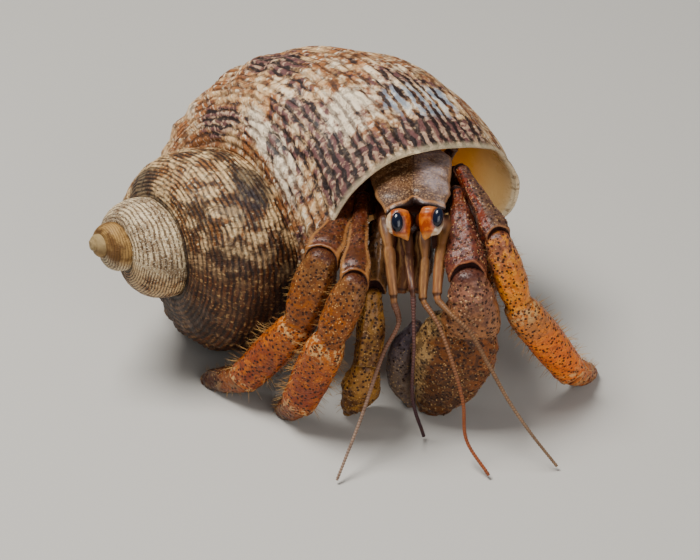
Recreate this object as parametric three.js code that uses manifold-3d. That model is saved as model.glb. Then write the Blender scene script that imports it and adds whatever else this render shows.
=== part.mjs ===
// Land hermit crab in a turban shell, life size, standing still. Millimetres, +Z up, floor at z = 0.
// The crab faces -Y, so its own left side is at +X.
import * as THREE from 'three';
import { mergeVertices } from 'three/addons/utils/BufferGeometryUtils.js';
import Module from 'manifold-3d';

const wasm = await Module();
wasm.setup();

// ---------------------------------------------------------------- driving dimensions

const GAP = 0.25;                 // clearance kept between neighbouring parts
const FLOOR_PRESS = 0.3;          // depth of the flats where the animal stands on the floor
const FINEST_EDGE = 0.08;         // slivers thinner than this, left by the cuts, are smoothed away
const DEG = Math.PI / 180;
const TURN = 2 * Math.PI;

// The shell grows as a spiral round an axis. Every turn is WHORL_GROWTH times the one before it.
const APEX = new THREE.Vector3(-27.3, 3.8, 17.87);
const SHELL_AXIS = new THREE.Vector3(0.8506, 0.4815, -0.2112).normalize();
const SHELL_UP = new THREE.Vector3(-0.0804, 0.5162, 0.8527).normalize();
const SHELL_SIDE = new THREE.Vector3().crossVectors(SHELL_AXIS, SHELL_UP);
const WHORL_GROWTH = 2.05;
const LIP_SIZE = 21.5;            // scale of the spiral at the lip
const LIP_TURN = 114 * DEG;       // turn of the lip round the axis, from SHELL_UP
const WHORL_RADIUS = 0.497;       // middle of the tube section, as shares of the scale
const WHORL_DROP = 1.606;
const TUBE_ACROSS = 0.562;        // half sizes of the tube section, as shares of the scale
const TUBE_ALONG = 0.714;
const RIBS = 14;                  // main spiral ribs round the whole tube section
const RIB_HEIGHT = 0.014;         // as a share of the section, over and under the plain tube
const AXIS_CLEAR = 0.03;          // the tube stays just clear of the axis
const INNER_LIP_BACK = 2 * DEG;
const LIP_BACK = 41 * DEG;        // the outer lip stands this far behind the inner lip
const LIP_MIDDLE = 18 * DEG;      // the place round the section where it stands back the most
const LIP_HALF = 110 * DEG;
const MOUTH_SHARE = 0.9;          // the hollow, as a share of the tube section
const MOUTH_OVERRUN = 30 * DEG;   // the cutting tube runs this far out past the lip
const COLUMELLA = 1.7;            // clear radius round the pillar in the middle of the shell
const PILLAR = { from: 2.5, to: 32.5, taper: 0.066 };   // along the axis, and its radius for each mm along
const HOLLOW_START = -200 * DEG;
const WHORL_OVERLAP = 0.05;       // turns by which one whorl's length runs into the next
const INNER_LIP_RUN = 0.15;       // turns by which the spire runs on as the inner wall of the mouth

const SHIELD = { front: [6.5, 2.3, 22.9], back: [5.8, 11.4, 24.2], frontHalf: 2.9, backHalf: 4.4, thick: 1.0 };
const THORAX = { front: [6.4, 2.7, 19.0], back: [5.4, 13.2, 19.0], half: 3.8, deep: 3.0 };

const COLOURS = {
  shell: ['#c9ad8f', 0.62],
  shield: ['#9c7258', 0.42],
  body: ['#5f3a28', 0.55],
  leg: ['#c8702c', 0.5],
  claw: ['#a86c44', 0.48],
  feeler: ['#8d6748', 0.5],
  eyestalk: ['#dd8f3a', 0.38],
  cornea: ['#0b0b0e', 0.08],
};

// Share of a segment's full half width at places along it, from the body outwards.
const PROFILES = {
  base: [[0, 0.7], [0.5, 1], [1, 0.75]],
  merus: [[0, 0.5], [0.25, 0.75], [0.8, 1], [1, 0.85]],
  carpus: [[0, 0.7], [0.35, 1], [0.8, 0.95], [1, 0.75]],
  propodus: [[0, 0.8], [0.4, 1], [0.85, 0.85], [1, 0.7]],
  dactylus: [[0, 1], [0.5, 0.8], [0.85, 0.55], [1, 0.32]],
};
const LEG_SEGMENTS = Object.keys(PROFILES);
const UPWARDS = [0, -0.3, 1];
const FORWARDS = [0, -1, 0.35];
const LEG_DORSAL = [UPWARDS, UPWARDS, FORWARDS, FORWARDS, FORWARDS];

// Walking legs: the six joints from the body to the tip, and [half width, half depth] of each segment.
const LEGS = {
  leg3_right: {
    joints: [[2.2, 12.2, 18.6], [0, 9, 21], [-2.8, -1.5, 19.5], [-5.1, -2.4, 12], [-11, 0.8, 3.1], [-15, 4.7, 0.2]],
    sizes: [[1.1, 1.3], [2.05, 1.9], [2, 1.7], [1.85, 1.55], [1.15, 1.1]],
  },
  leg2_right: {
    joints: [[2.8, 9.4, 19], [1.2, 6.5, 21.2], [0.45, -4.7, 18.8], [-2.2, -6, 12.3], [-5.3, -3.3, 2.9], [-7, -0.7, 0]],
    sizes: [[1.1, 1.3], [1.5, 1.8], [1.65, 1.6], [1.95, 1.6], [1.05, 0.95]],
  },
  leg2_left: {
    joints: [[9.8, 11.6, 19.6], [11.4, 8.9, 23.1], [14.7, 0.4, 20.6], [17.1, -1, 13.3], [22.9, 2.3, 2.9], [25.2, 6.1, 0]],
    sizes: [[1.1, 1.3], [1.4, 1.9], [1.5, 1.5], [1.85, 1.55], [1.15, 1.05]],
  },
  leg3_left: {
    joints: [[9.2, 13.4, 18.6], [11.4, 11.4, 19.6], [13.8, 5.4, 17.6], [13.9, 4.5, 10.6], [12.9, 9.6, 3], [13.2, 14.8, 0]],
    sizes: [[1, 1.2], [1.3, 1.6], [1.3, 1.4], [1.3, 1.3], [0.85, 0.85]],
  },
};

// ---------------------------------------------------------------- solids

const vec = (p) => new THREE.Vector3(p[0], p[1], p[2]);

/** Merges the shared vertices of a geometry and makes it a solid, with its faces turned outwards. */
function solidFrom(geometry) {
  geometry.deleteAttribute('normal');
  geometry.deleteAttribute('uv');
  const welded = mergeVertices(geometry, 1e-5);
  const vertProperties = Float32Array.from(welded.attributes.position.array);
  const triVerts = Uint32Array.from(welded.index.array);
  const corners = [new THREE.Vector3(), new THREE.Vector3(), new THREE.Vector3()];
  let volume = 0;
  for (let i = 0; i < triVerts.length; i += 3) {
    corners.forEach((corner, j) => corner.fromArray(vertProperties, triVerts[i + j] * 3));
    volume += corners[0].dot(corners[1].cross(corners[2]));
  }
  if (volume < 0) {
    for (let i = 0; i < triVerts.length; i += 3) {
      [triVerts[i], triVerts[i + 1]] = [triVerts[i + 1], triVerts[i]];
    }
  }
  return new wasm.Manifold(new wasm.Mesh({ numProp: 3, vertProperties, triVerts }));
}

/** A closed tube whose every point is placed by place(along 0..1, angle, reach: 0 in the middle, 1 outside). */
function loft(sides, rings, place) {
  const tube = new THREE.CylinderGeometry(1, 1, 1, sides, rings);
  const position = tube.attributes.position;
  for (let i = 0; i < position.count; i++) {
    const x = position.getX(i);
    const z = position.getZ(i);
    const reach = Math.hypot(x, z) > 0.5 ? 1 : 0;
    const point = place(0.5 - position.getY(i), reach * Math.atan2(z, x), reach);
    position.setXYZ(i, point.x, point.y, point.z);
  }
  return solidFrom(tube);
}

/** The value at one place along a list of [along, value, value...] rows, straight between the rows. */
function readRows(rows, along, column) {
  let i = 0;
  while (i < rows.length - 2 && rows[i + 1][0] < along) i++;
  const [a, b] = [rows[i], rows[i + 1]];
  const share = THREE.MathUtils.clamp((along - a[0]) / (b[0] - a[0]), 0, 1);
  return THREE.MathUtils.lerp(a[column], b[column], share);
}

/**
 * A limb or feeler. Its middle line runs through path and its back faces dorsal. rows hold
 * [along, half width, half depth]. square above 2 makes the section boxier. grow swells it all round.
 */
function limb({ path, dorsal, rows, square = 2.4, sides = 10, rings = 5 }, grow) {
  const line = new THREE.CatmullRomCurve3(path.map(vec), false, 'centripetal');
  return loft(sides, rings, (along, angle, reach) => {
    const ahead = line.getTangentAt(along);
    const side = new THREE.Vector3().crossVectors(ahead, vec(dorsal)).normalize();
    const back = new THREE.Vector3().crossVectors(side, ahead);
    const c = Math.cos(angle);
    const s = Math.sin(angle);
    const round = reach * (Math.abs(c) ** square + Math.abs(s) ** square) ** (-1 / square);
    return line.getPointAt(along)
      .addScaledVector(ahead, (2 * along - 1) * grow)
      .addScaledVector(side, c * round * (readRows(rows, along, 1) + grow))
      .addScaledVector(back, s * round * (readRows(rows, along, 2) + grow));
  });
}

/** An egg-shaped solid with half sizes along its forward, side and upward directions. */
function egg({ centre, halves, forward, up, sides = 10 }, grow) {
  const ball = new THREE.SphereGeometry(1, sides, sides / 2 + 1);
  const ahead = vec(forward).normalize();
  const side = new THREE.Vector3().crossVectors(ahead, vec(up)).normalize();
  const top = new THREE.Vector3().crossVectors(side, ahead);
  const [length, width, height] = halves.map((half) => half + grow);
  side.multiplyScalar(width);
  ahead.multiplyScalar(length);
  top.multiplyScalar(height);
  ball.applyMatrix4(new THREE.Matrix4().makeBasis(side, ahead, top).setPosition(vec(centre)));
  return solidFrom(ball);
}

// ---------------------------------------------------------------- shell

/** How far back the edge of the lip stands at a place round the tube section. */
function lipTurn(round) {
  const away = Math.abs(((round - LIP_MIDDLE + 1.5 * TURN) % TURN) - 0.5 * TURN) / LIP_HALF;
  return -INNER_LIP_BACK - (away < 1 ? LIP_BACK * (1 - away ** 4) ** 2 : 0);
}

/** A point of the shell: turn round the axis (0 at the lip), place round the section, share of the section. */
function shellPoint(turn, round, share, clear = 0) {
  const scale = LIP_SIZE * WHORL_GROWTH ** (turn / TURN);
  const out = scale * (WHORL_RADIUS + share * TUBE_ACROSS * Math.cos(round));
  const kept = Math.max(out, scale * AXIS_CLEAR, clear);
  return APEX.clone()
    .addScaledVector(SHELL_AXIS, scale * (WHORL_DROP + share * TUBE_ALONG * Math.sin(round)))
    .addScaledVector(SHELL_UP, kept * Math.cos(turn + LIP_TURN))
    .addScaledVector(SHELL_SIDE, kept * Math.sin(turn + LIP_TURN));
}

/** One whorl of the spiral tube, counted back from the lip, swollen by grow. It runs ahead into the next. */
function whorl(back, sides, rings, grow, ahead = WHORL_OVERLAP) {
  const from = -(back + 1 - WHORL_OVERLAP) * TURN;
  const to = -(back - ahead) * TURN;
  const share = 1 + grow / (LIP_SIZE * WHORL_GROWTH ** -back * TUBE_ACROSS);
  return loft(sides, rings, (along, round, reach) => shellPoint(from + (to - from) * along, round, reach * share));
}

/** The open last whorl. The spire is joined on afterwards, because its base is the inner wall of the mouth. */
function makeShell(grow) {
  const swell = grow / (LIP_SIZE * TUBE_ACROSS);
  const longer = 2 * grow / LIP_SIZE;
  const outside = loft(2 * RIBS, 18, (along, round, reach) => {
    const ribbed = 1 + swell + RIB_HEIGHT * Math.cos(RIBS * round);
    return shellPoint(-TURN + (lipTurn(round) + longer + TURN) * along, round, reach * ribbed);
  });
  const hollow = loft(12, 8, (along, round, reach) => {
    const turn = HOLLOW_START + (lipTurn(round) + MOUTH_OVERRUN - HOLLOW_START) * along;
    return shellPoint(turn, round, reach * (MOUTH_SHARE - swell), COLUMELLA + grow);
  });
  const tip = shellPoint(-3.1 * TURN, 0, 0).toArray();
  const pillar = loft(8, 5, (along, angle, reach) => {
    const down = THREE.MathUtils.lerp(PILLAR.from, PILLAR.to, along);
    const out = reach * (down * PILLAR.taper * (1 - 0.5 * along ** 6) + grow);
    return APEX.clone()
      .addScaledVector(SHELL_AXIS, down)
      .addScaledVector(SHELL_UP, out * Math.cos(angle))
      .addScaledVector(SHELL_SIDE, out * Math.sin(angle));
  });
  return outside.subtract(hollow)
    .add(pillar)
    .add(whorl(1, 16, 14, grow, INNER_LIP_RUN))
    .add(whorl(2, 10, 10, grow))
    .add(whorl(3, 8, 7, grow))
    .add(egg({ centre: tip, halves: [1.1, 1, 1], forward: SHELL_AXIS.toArray(), up: SHELL_UP.toArray(), sides: 8 }, grow));
}

// ---------------------------------------------------------------- parts, each trimmed by those before it

const parts = [];
const part = (name, finish, make) => parts.push({ name, finish, make });
const limbPart = (name, finish, shape) => part(name, finish, (grow) => limb(shape, grow));

part('shell', 'shell', makeShell);

// Eyes: a flattened upright stalk with the cornea on the outer part of its end.
const EYE_FORWARD = [0, -0.83, 0.56];
const EYE_UP = [0, 0.56, 0.83];
const EYES = {
  right: { cornea: [4.75, -0.75, 23.15], turned: [-0.12, 0, 0], stalk: [5.25, 0.15, 22.65], root: [5.9, 3.2, 21] },
  left: { cornea: [8.65, -0.65, 23.5], turned: [0.45, 0, 0], stalk: [8.0, 0.15, 22.75], root: [7.1, 3.2, 21] },
};
for (const [side, eye] of Object.entries(EYES)) {
  const forward = vec(EYE_FORWARD).add(vec(eye.turned)).toArray();
  part(`cornea_${side}`, 'cornea', (grow) => egg(
    { centre: eye.cornea, halves: [0.7, 0.72, 1.05], forward, up: EYE_UP }, grow));
  part(`eyestalk_${side}`, 'eyestalk', (grow) => egg(
    { centre: eye.stalk, halves: [1.25, 1.28, 1.75], forward, up: EYE_UP }, grow).add(
    limb({ path: [eye.stalk, eye.root], dorsal: EYE_UP, rows: [[0, 0.8, 0.9], [1, 0.7, 0.8]], sides: 8, rings: 2 }, grow)));
}

limbPart('shield', 'shield', {
  path: [SHIELD.front, SHIELD.back],
  dorsal: [0, 0, 1],
  rows: [[0, SHIELD.frontHalf, 0.5], [0.25, 3.8, SHIELD.thick], [0.8, SHIELD.backHalf, SHIELD.thick], [1, 3.4, 0.6]],
  square: 2.2,
  sides: 14,
});

limbPart('thorax', 'body', {
  path: [THORAX.front, THORAX.back],
  dorsal: [0, 0, 1],
  rows: [[0, 2.3, 2.2], [0.3, 3.2, THORAX.deep], [0.8, THORAX.half, THORAX.deep], [1, 2.4, 2.4]],
  square: 3,
  sides: 12,
});

// Antennae, the outer pair of feelers, and antennules, the inner pair.
const FEELERS = {
  antenna_right: {
    stem: { path: [[3.5, 2.6, 21.4], [3.8, 0.4, 20.2], [4.35, -2.3, 15.6]], size: [0.75, 0.5] },
    whip: { path: [[4.4, -2.6, 15], [4.9, -3, 12.8], [3.4, -5, 10.6], [1.1, -9, 5.3], [-1.3, -12.9, 0.5]], size: [0.5, 0.27] },
  },
  antenna_left: {
    stem: { path: [[9.7, 2.6, 21.4], [9.2, 0.2, 20.3], [8.7, -3.6, 16.4]], size: [0.75, 0.5] },
    whip: {
      path: [[8.8, -4, 16.1], [10.2, -6.2, 15.8], [11.8, -7.1, 14.6], [13.8, -7.8, 11], [15.9, -8.8, 7.2],
        [18, -9.8, 4.2], [20.8, -10.6, 0.5]],
      size: [0.5, 0.27],
    },
  },
  antennule_right: {
    stem: { path: [[5.6, 2, 20.4], [5.9, -0.6, 18.4], [6.2, -3.2, 16.8]], size: [0.6, 0.42] },
    whip: { path: [[6.3, -3.5, 16.3], [6.4, -5.5, 11.6], [6.3, -6.6, 6], [7.5, -5.5, 0.5]], size: [0.4, 0.28] },
  },
  antennule_left: {
    stem: { path: [[7.4, 1.6, 20.4], [7.5, -0.6, 18.6], [7.3, -3.2, 15.7]], size: [0.7, 0.5] },
    whip: {
      path: [[7.5, -3.6, 15.4], [8.7, -5.4, 14.4], [10, -7.2, 11.6], [11.3, -8.6, 7], [11.7, -9.6, 3], [13.9, -12.1, 0.5]],
      size: [0.42, 0.28],
    },
  },
};
for (const [name, { stem, whip }] of Object.entries(FEELERS)) {
  limbPart(`${name}_peduncle`, 'feeler', {
    path: stem.path,
    dorsal: FORWARDS,
    rows: [[0, stem.size[0], stem.size[0]], [1, stem.size[1], stem.size[1]]],
    sides: 7,
  });
  limbPart(`${name}_flagellum`, 'feeler', {
    path: whip.path,
    dorsal: [0.3, -0.8, 0.5],
    rows: [[0, whip.size[0], whip.size[0]], [1, whip.size[1], whip.size[1]]],
    square: 2,
    sides: 5,
    rings: 10,
  });
}

for (const [side, x, tipX] of [['right', 5.5, 5.1], ['left', 7.3, 6.7]]) {
  limbPart(`maxilliped_${side}`, 'body', {
    path: [[x, 2.4, 19.6], [x, 0.5, 18], [tipX, -0.6, 14.9]],
    dorsal: FORWARDS,
    rows: [[0, 0.8, 0.8], [0.5, 0.75, 0.7], [1, 0.5, 0.5]],
    sides: 7,
    rings: 4,
  });
}

limbPart('mouthparts', 'body', {
  path: [[6.5, 4.6, 17.4], [6.3, 3.4, 12.6]],
  dorsal: FORWARDS,
  rows: [[0, 2.1, 1.3], [0.5, 2.1, 1.4], [1, 1.3, 0.9]],
  sides: 10,
  rings: 4,
});

// The large left claw and the small right one.
limbPart('cheliped_left_merus', 'claw', {
  path: [[10.9, 6, 22.2], [11.65, -2.6, 18.4]],
  dorsal: UPWARDS,
  rows: [[0, 0.6, 1], [0.35, 1.3, 1.6], [0.85, 2.1, 1.9], [1, 1.8, 1.5]],
});
limbPart('cheliped_left_carpus', 'claw', {
  path: [[11.8, -2.9, 18], [12.2, -3.2, 15], [12.1, -2.6, 12.2]],
  dorsal: FORWARDS,
  rows: [[0, 1.7, 1.6], [0.4, 2.4, 2.2], [0.8, 2.6, 2.3], [1, 2.2, 2]],
});
limbPart('cheliped_left_palm', 'claw', {
  path: [[12, -2.4, 12.4], [10.8, -2.2, 9.2], [10.2, -1.9, 6.3], [8.8, -0.9, 2.2], [7.6, -0.3, -0.1]],
  dorsal: FORWARDS,
  rows: [[0, 2.4, 1.8], [0.12, 3.9, 2.5], [0.3, 4.2, 2.7], [0.6, 3.3, 2.5], [0.82, 2.2, 1.8], [0.93, 1.3, 1.1], [1, 0.5, 0.5]],
  sides: 12,
  rings: 8,
});
limbPart('cheliped_left_dactylus', 'claw', {
  path: [[6.9, 1.2, 9.4], [5.4, 1, 6.6], [5.1, 0.9, 3.4], [6.3, 0.4, 0]],
  dorsal: FORWARDS,
  rows: [[0, 0.8, 0.9], [0.35, 1.3, 1.4], [0.7, 1.2, 1.2], [1, 0.4, 0.4]],
});
limbPart('cheliped_left_base', 'claw', {
  path: [[8.9, 9.4, 19], [10.9, 6.6, 21.9]],
  dorsal: UPWARDS,
  rows: [[0, 1.1, 1.1], [0.6, 1.3, 1.4], [1, 0.8, 1]],
  sides: 8,
  rings: 2,
});
limbPart('cheliped_right_merus', 'claw', {
  path: [[3.1, 6.2, 18.5], [2.4, 0.2, 14.8]],
  dorsal: UPWARDS,
  rows: [[0, 0.8, 1], [0.8, 1.3, 1.5], [1, 1.1, 1.2]],
});
limbPart('cheliped_right_carpus', 'claw', {
  path: [[2.3, -0.2, 14.3], [2.1, -1.4, 10.6], [1.7, -2.3, 7.2]],
  dorsal: FORWARDS,
  rows: [[0, 1, 1], [0.5, 1.4, 1.4], [1, 1.3, 1.3]],
});
limbPart('cheliped_right_palm', 'claw', {
  path: [[1.5, -2.3, 6.9], [0.9, -2, 4], [-0.3, -1, -0.1]],
  dorsal: FORWARDS,
  rows: [[0, 1.2, 1.2], [0.35, 1.8, 1.5], [0.7, 1.2, 1.1], [1, 0.4, 0.4]],
});
limbPart('cheliped_right_dactylus', 'claw', {
  path: [[2.4, -0.6, 4.8], [2.2, -0.4, 2.4], [0.9, -0.4, 0.1]],
  dorsal: FORWARDS,
  rows: [[0, 0.6, 0.7], [0.5, 0.8, 0.8], [1, 0.35, 0.35]],
  sides: 8,
});
limbPart('cheliped_right_base', 'claw', {
  path: [[3.2, 8.6, 15.6], [2.7, 6.3, 17.9]],
  dorsal: UPWARDS,
  rows: [[0, 1, 1], [0.6, 1.2, 1.3], [1, 0.9, 1]],
  sides: 8,
  rings: 2,
});

// Walking legs. Each base comes last, so that it is trimmed to the segment that it carries.
const OUTER_SEGMENTS = LEG_SEGMENTS.slice(1);
for (const [leg, { joints, sizes }] of Object.entries(LEGS)) {
  for (const segment of [...OUTER_SEGMENTS, LEG_SEGMENTS[0]]) {
    const i = LEG_SEGMENTS.indexOf(segment);
    limbPart(`${leg}_${segment}`, 'leg', {
      path: [joints[i], joints[i + 1]],
      dorsal: LEG_DORSAL[i],
      rows: PROFILES[segment].map(([along, share]) => [along, share * sizes[i][0], share * sizes[i][1]]),
      sides: 8,
      rings: segment === 'base' ? 2 : 5,
    });
  }
}

// The two small hind pairs stay inside the shell and brace the animal against its wall.
const HIND_LEGS = {
  leg4: { path: [[3, 11.9, 18.6], [4.4, 14.4, 21.2], [5.2, 13.2, 23.4]], size: [0.75, 0.45] },
  leg5: { path: [[2.2, 13.4, 17.8], [3.6, 16.4, 19.4], [3.4, 17, 21.8]], size: [0.55, 0.35] },
};
const BODY_MIDDLE_X = 5.5;
for (const [leg, { path, size }] of Object.entries(HIND_LEGS)) {
  for (const [side, sign] of [['right', -1], ['left', 1]]) {
    limbPart(`${leg}_${side}`, 'leg', {
      path: path.map(([out, y, z]) => [BODY_MIDDLE_X + sign * out, y, z]),
      dorsal: [0.3, 1, 0.3],
      rows: [[0, size[0], size[0]], [1, size[1], size[1]]],
      sides: 6,
      rings: 4,
    });
  }
}

// The soft abdomen follows the hollow of the shell round from the thorax.
const ABDOMEN = { from: -75 * DEG, to: -180 * DEG, share: 0.36, tipShare: 0.14, off: 1.2 };
part('abdomen', 'body', (grow) => loft(10, 8, (along, round, reach) => {
  const share = THREE.MathUtils.lerp(ABDOMEN.share, ABDOMEN.tipShare, along ** 2) + grow / LIP_SIZE;
  return shellPoint(THREE.MathUtils.lerp(ABDOMEN.from, ABDOMEN.to, along), round, share * reach)
    .addScaledVector(SHELL_AXIS, ABDOMEN.off);
}));

// ---------------------------------------------------------------- assembly

const floorBox = new THREE.BoxGeometry(200, 200, 20);
floorBox.translate(0, 0, -10);
const floor = solidFrom(floorBox);

const near = (a, b) => [0, 1, 2].every((i) => a.min[i] < b.max[i] && b.min[i] < a.max[i]);

/** The largest body of a solid, so that no chip is left after a cut. */
function largest(solid) {
  return solid.decompose().reduce((best, body) => (body.volume() > best.volume() ? body : best));
}

const model = new THREE.Group();
const keepOut = [];
for (const { name, finish, make } of parts) {
  const sink = [0, 0, name === 'shell' ? -FLOOR_PRESS : 0];
  let solid = make(0).translate(sink).subtract(floor);
  for (const other of keepOut) {
    if (near(solid.boundingBox(), other.boundingBox())) solid = solid.subtract(other);
  }
  keepOut.push(make(GAP).translate(sink));
  const { vertProperties, triVerts } = largest(solid.simplify(FINEST_EDGE)).getMesh();
  const geometry = new THREE.BufferGeometry();
  geometry.setAttribute('position', new THREE.BufferAttribute(vertProperties, 3));
  geometry.setIndex(new THREE.BufferAttribute(triVerts, 1));
  geometry.computeVertexNormals();
  const [color, roughness] = COLOURS[finish];
  const mesh = new THREE.Mesh(geometry, new THREE.MeshStandardMaterial({ color, roughness, metalness: 0 }));
  mesh.name = name;
  model.add(mesh);
}

// The origin goes to the middle of the floor that the model covers.
const middle = new THREE.Box3().setFromObject(model).getCenter(new THREE.Vector3());
model.position.set(-middle.x, -middle.y, 0);

export default model;
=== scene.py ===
"""The looks of a land hermit crab in its turban shell, built over the solids of the part.

Lengths are written in millimetres in the animal's own frame: +Z up, the floor at 0, the crab facing -Y and
its own left side at +X. A point goes through placed() into the shared frame, in metres.
"""

import bisect
import math
import random

import bmesh
import bpy
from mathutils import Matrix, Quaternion, Vector, noise


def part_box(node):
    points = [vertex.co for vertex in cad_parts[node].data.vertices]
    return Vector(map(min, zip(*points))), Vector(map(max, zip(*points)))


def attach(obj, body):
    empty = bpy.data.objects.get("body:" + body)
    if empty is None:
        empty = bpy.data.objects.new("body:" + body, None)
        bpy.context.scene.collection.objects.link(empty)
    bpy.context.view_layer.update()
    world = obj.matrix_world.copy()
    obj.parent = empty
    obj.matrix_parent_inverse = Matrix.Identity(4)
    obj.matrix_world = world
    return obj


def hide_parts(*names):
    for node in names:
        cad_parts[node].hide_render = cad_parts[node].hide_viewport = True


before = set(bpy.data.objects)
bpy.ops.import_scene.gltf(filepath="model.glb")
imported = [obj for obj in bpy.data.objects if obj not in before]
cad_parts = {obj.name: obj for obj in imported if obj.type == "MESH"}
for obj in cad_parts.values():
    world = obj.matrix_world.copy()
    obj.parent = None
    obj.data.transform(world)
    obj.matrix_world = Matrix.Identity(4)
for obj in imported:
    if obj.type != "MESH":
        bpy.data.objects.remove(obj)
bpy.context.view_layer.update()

MM = 0.001
TURN = 2 * math.pi
LEFT_CORNEA = Vector((8.65, -0.65, 23.5))
cornea_low, cornea_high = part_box("cornea_left")
STANCE = (cornea_low + cornea_high) / 2 - LEFT_CORNEA * MM
chance = random.Random(7)


def placed(point):
    """A point of the animal's own frame, in the shared frame."""
    return Vector(point) * MM + STANCE


def clamp(x, low=0.0, high=1.0):
    return max(low, min(high, x))


def ease(x, low, high):
    """0 below low, 1 above high, and smooth between."""
    t = clamp((x - low) / (high - low))
    return t * t * (3 - 2 * t)


def hill(x, middle, width):
    """A smooth bump of height 1."""
    return math.exp(-(((x - middle) / width) ** 2))


def read_rows(rows, along):
    """The values at one place along rows of [along, value, ...], smooth between the rows."""
    for a, b in zip(rows, rows[1:]):
        if along <= b[0]:
            break
    share = ease(along, a[0], b[0])
    return [p + (q - p) * share for p, q in zip(a[1:], b[1:])]


# ---------------------------------------------------------------- meshes


class Skin:
    """A closed surface drawn out ring by ring from a circle. Each corner keeps its place along and around."""

    def __init__(self):
        self.mesh = bmesh.new()
        self.corner = self.mesh.verts.layers.int.new("corner")
        self.along = self.mesh.verts.layers.float.new("along")
        self.around = self.mesh.verts.layers.float.new("around")
        self.mark = self.mesh.verts.layers.float.new("mark")

    def sweep(self, sides, rings, place, around=None):
        """rings are the places along; place(along, corner) gives the point. Both ends close on a pole."""
        mesh = self.mesh
        ring = bmesh.ops.create_circle(mesh, segments=sides, radius=1)["verts"]
        for index, vert in enumerate(ring):
            vert[self.corner] = index
            vert[self.around] = around(index) if around else index / sides
        inside = set(ring)
        edges = [edge for edge in mesh.edges if edge.verts[0] in inside and edge.verts[1] in inside]
        first = ring
        for number, along in enumerate(rings):
            if number:
                grown = bmesh.ops.extrude_edge_only(mesh, edges=edges)["geom"]
                ring = [item for item in grown if isinstance(item, bmesh.types.BMVert)]
                inside = set(ring)
                edges = [item for item in grown if isinstance(item, bmesh.types.BMEdge)
                         and item.verts[0] in inside and item.verts[1] in inside]
            for vert in ring:
                vert[self.along] = along
                vert.co = place(along, vert[self.corner])
        for end in (first, ring):
            middle = sum((vert.co for vert in end), Vector()) / len(end)
            bmesh.ops.pointmerge(mesh, verts=end, merge_co=middle)

    def bead(self, place, size, mark, segments=6):
        """A small round grain on the surface."""
        made = bmesh.ops.create_uvsphere(self.mesh, u_segments=segments, v_segments=segments * 2 // 3,
                                         radius=size)["verts"]
        for vert in made:
            vert.co += place
            vert[self.mark] = mark
            vert[self.along] = 0.5

    def finished(self, name, finish, slot, replaces, wrap="spread"):
        """The mesh becomes a piece in the shared frame, with a map of where each corner lies on it."""
        mesh = self.mesh
        bmesh.ops.recalc_face_normals(mesh, faces=mesh.faces)
        spread = mesh.loops.layers.uv.new(wrap)
        for face in mesh.faces:
            places = [loop.vert[self.around] for loop in face.loops]
            high = max(places)
            for loop, place in zip(face.loops, places):
                turned = place + 1 if high - place > 0.5 else place
                loop[spread].uv = (turned, loop.vert[self.along])
            face.smooth = True
        for vert in mesh.verts:
            vert.co = placed(vert.co)
        return as_piece(mesh, name, finish, replaces)


def as_piece(mesh, name, finish, replaces=()):
    """The mesh as an object of the part, fixed to its one body."""
    data = bpy.data.meshes.new(name)
    mesh.to_mesh(data)
    mesh.free()
    piece = bpy.data.objects.new(name, data)
    bpy.context.scene.collection.objects.link(piece)
    data.materials.append(finish)
    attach(piece, "root")
    if replaces:
        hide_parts(*replaces)
    return piece


class Line:
    """A smooth line through a few points, read by the share of its length."""

    SAMPLES = 24

    def __init__(self, points):
        points = [Vector(p) for p in points]
        ends = [2 * points[0] - points[1], *points, 2 * points[-1] - points[-2]]
        self.spots = []
        for a, b, c, d in zip(ends, ends[1:], ends[2:], ends[3:]):
            gaps = [max(math.sqrt((q - p).length), 1e-4) for p, q in ((a, b), (b, c), (c, d))]
            start = ((b - a) / gaps[0] - (c - a) / (gaps[0] + gaps[1]) + (c - b) / gaps[1]) * gaps[1]
            stop = ((c - b) / gaps[1] - (d - b) / (gaps[1] + gaps[2]) + (d - c) / gaps[2]) * gaps[1]
            for i in range(self.SAMPLES):
                t = i / self.SAMPLES
                self.spots.append(b * (2 * t**3 - 3 * t**2 + 1) + start * (t**3 - 2 * t**2 + t)
                                  + c * (3 * t**2 - 2 * t**3) + stop * (t**3 - t**2))
        self.spots.append(points[-1])
        self.marks = [0.0]
        for a, b in zip(self.spots, self.spots[1:]):
            self.marks.append(self.marks[-1] + (b - a).length)
        self.length = self.marks[-1]

    def at(self, share):
        """The point and the direction there. The line runs on straight past its ends."""
        want = share * self.length
        i = clamp(bisect.bisect_right(self.marks, want) - 1, 0, len(self.marks) - 2)
        a, b = self.spots[i], self.spots[i + 1]
        step = b - a
        return a + step * ((want - self.marks[i]) / step.length), step.normalized()


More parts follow.
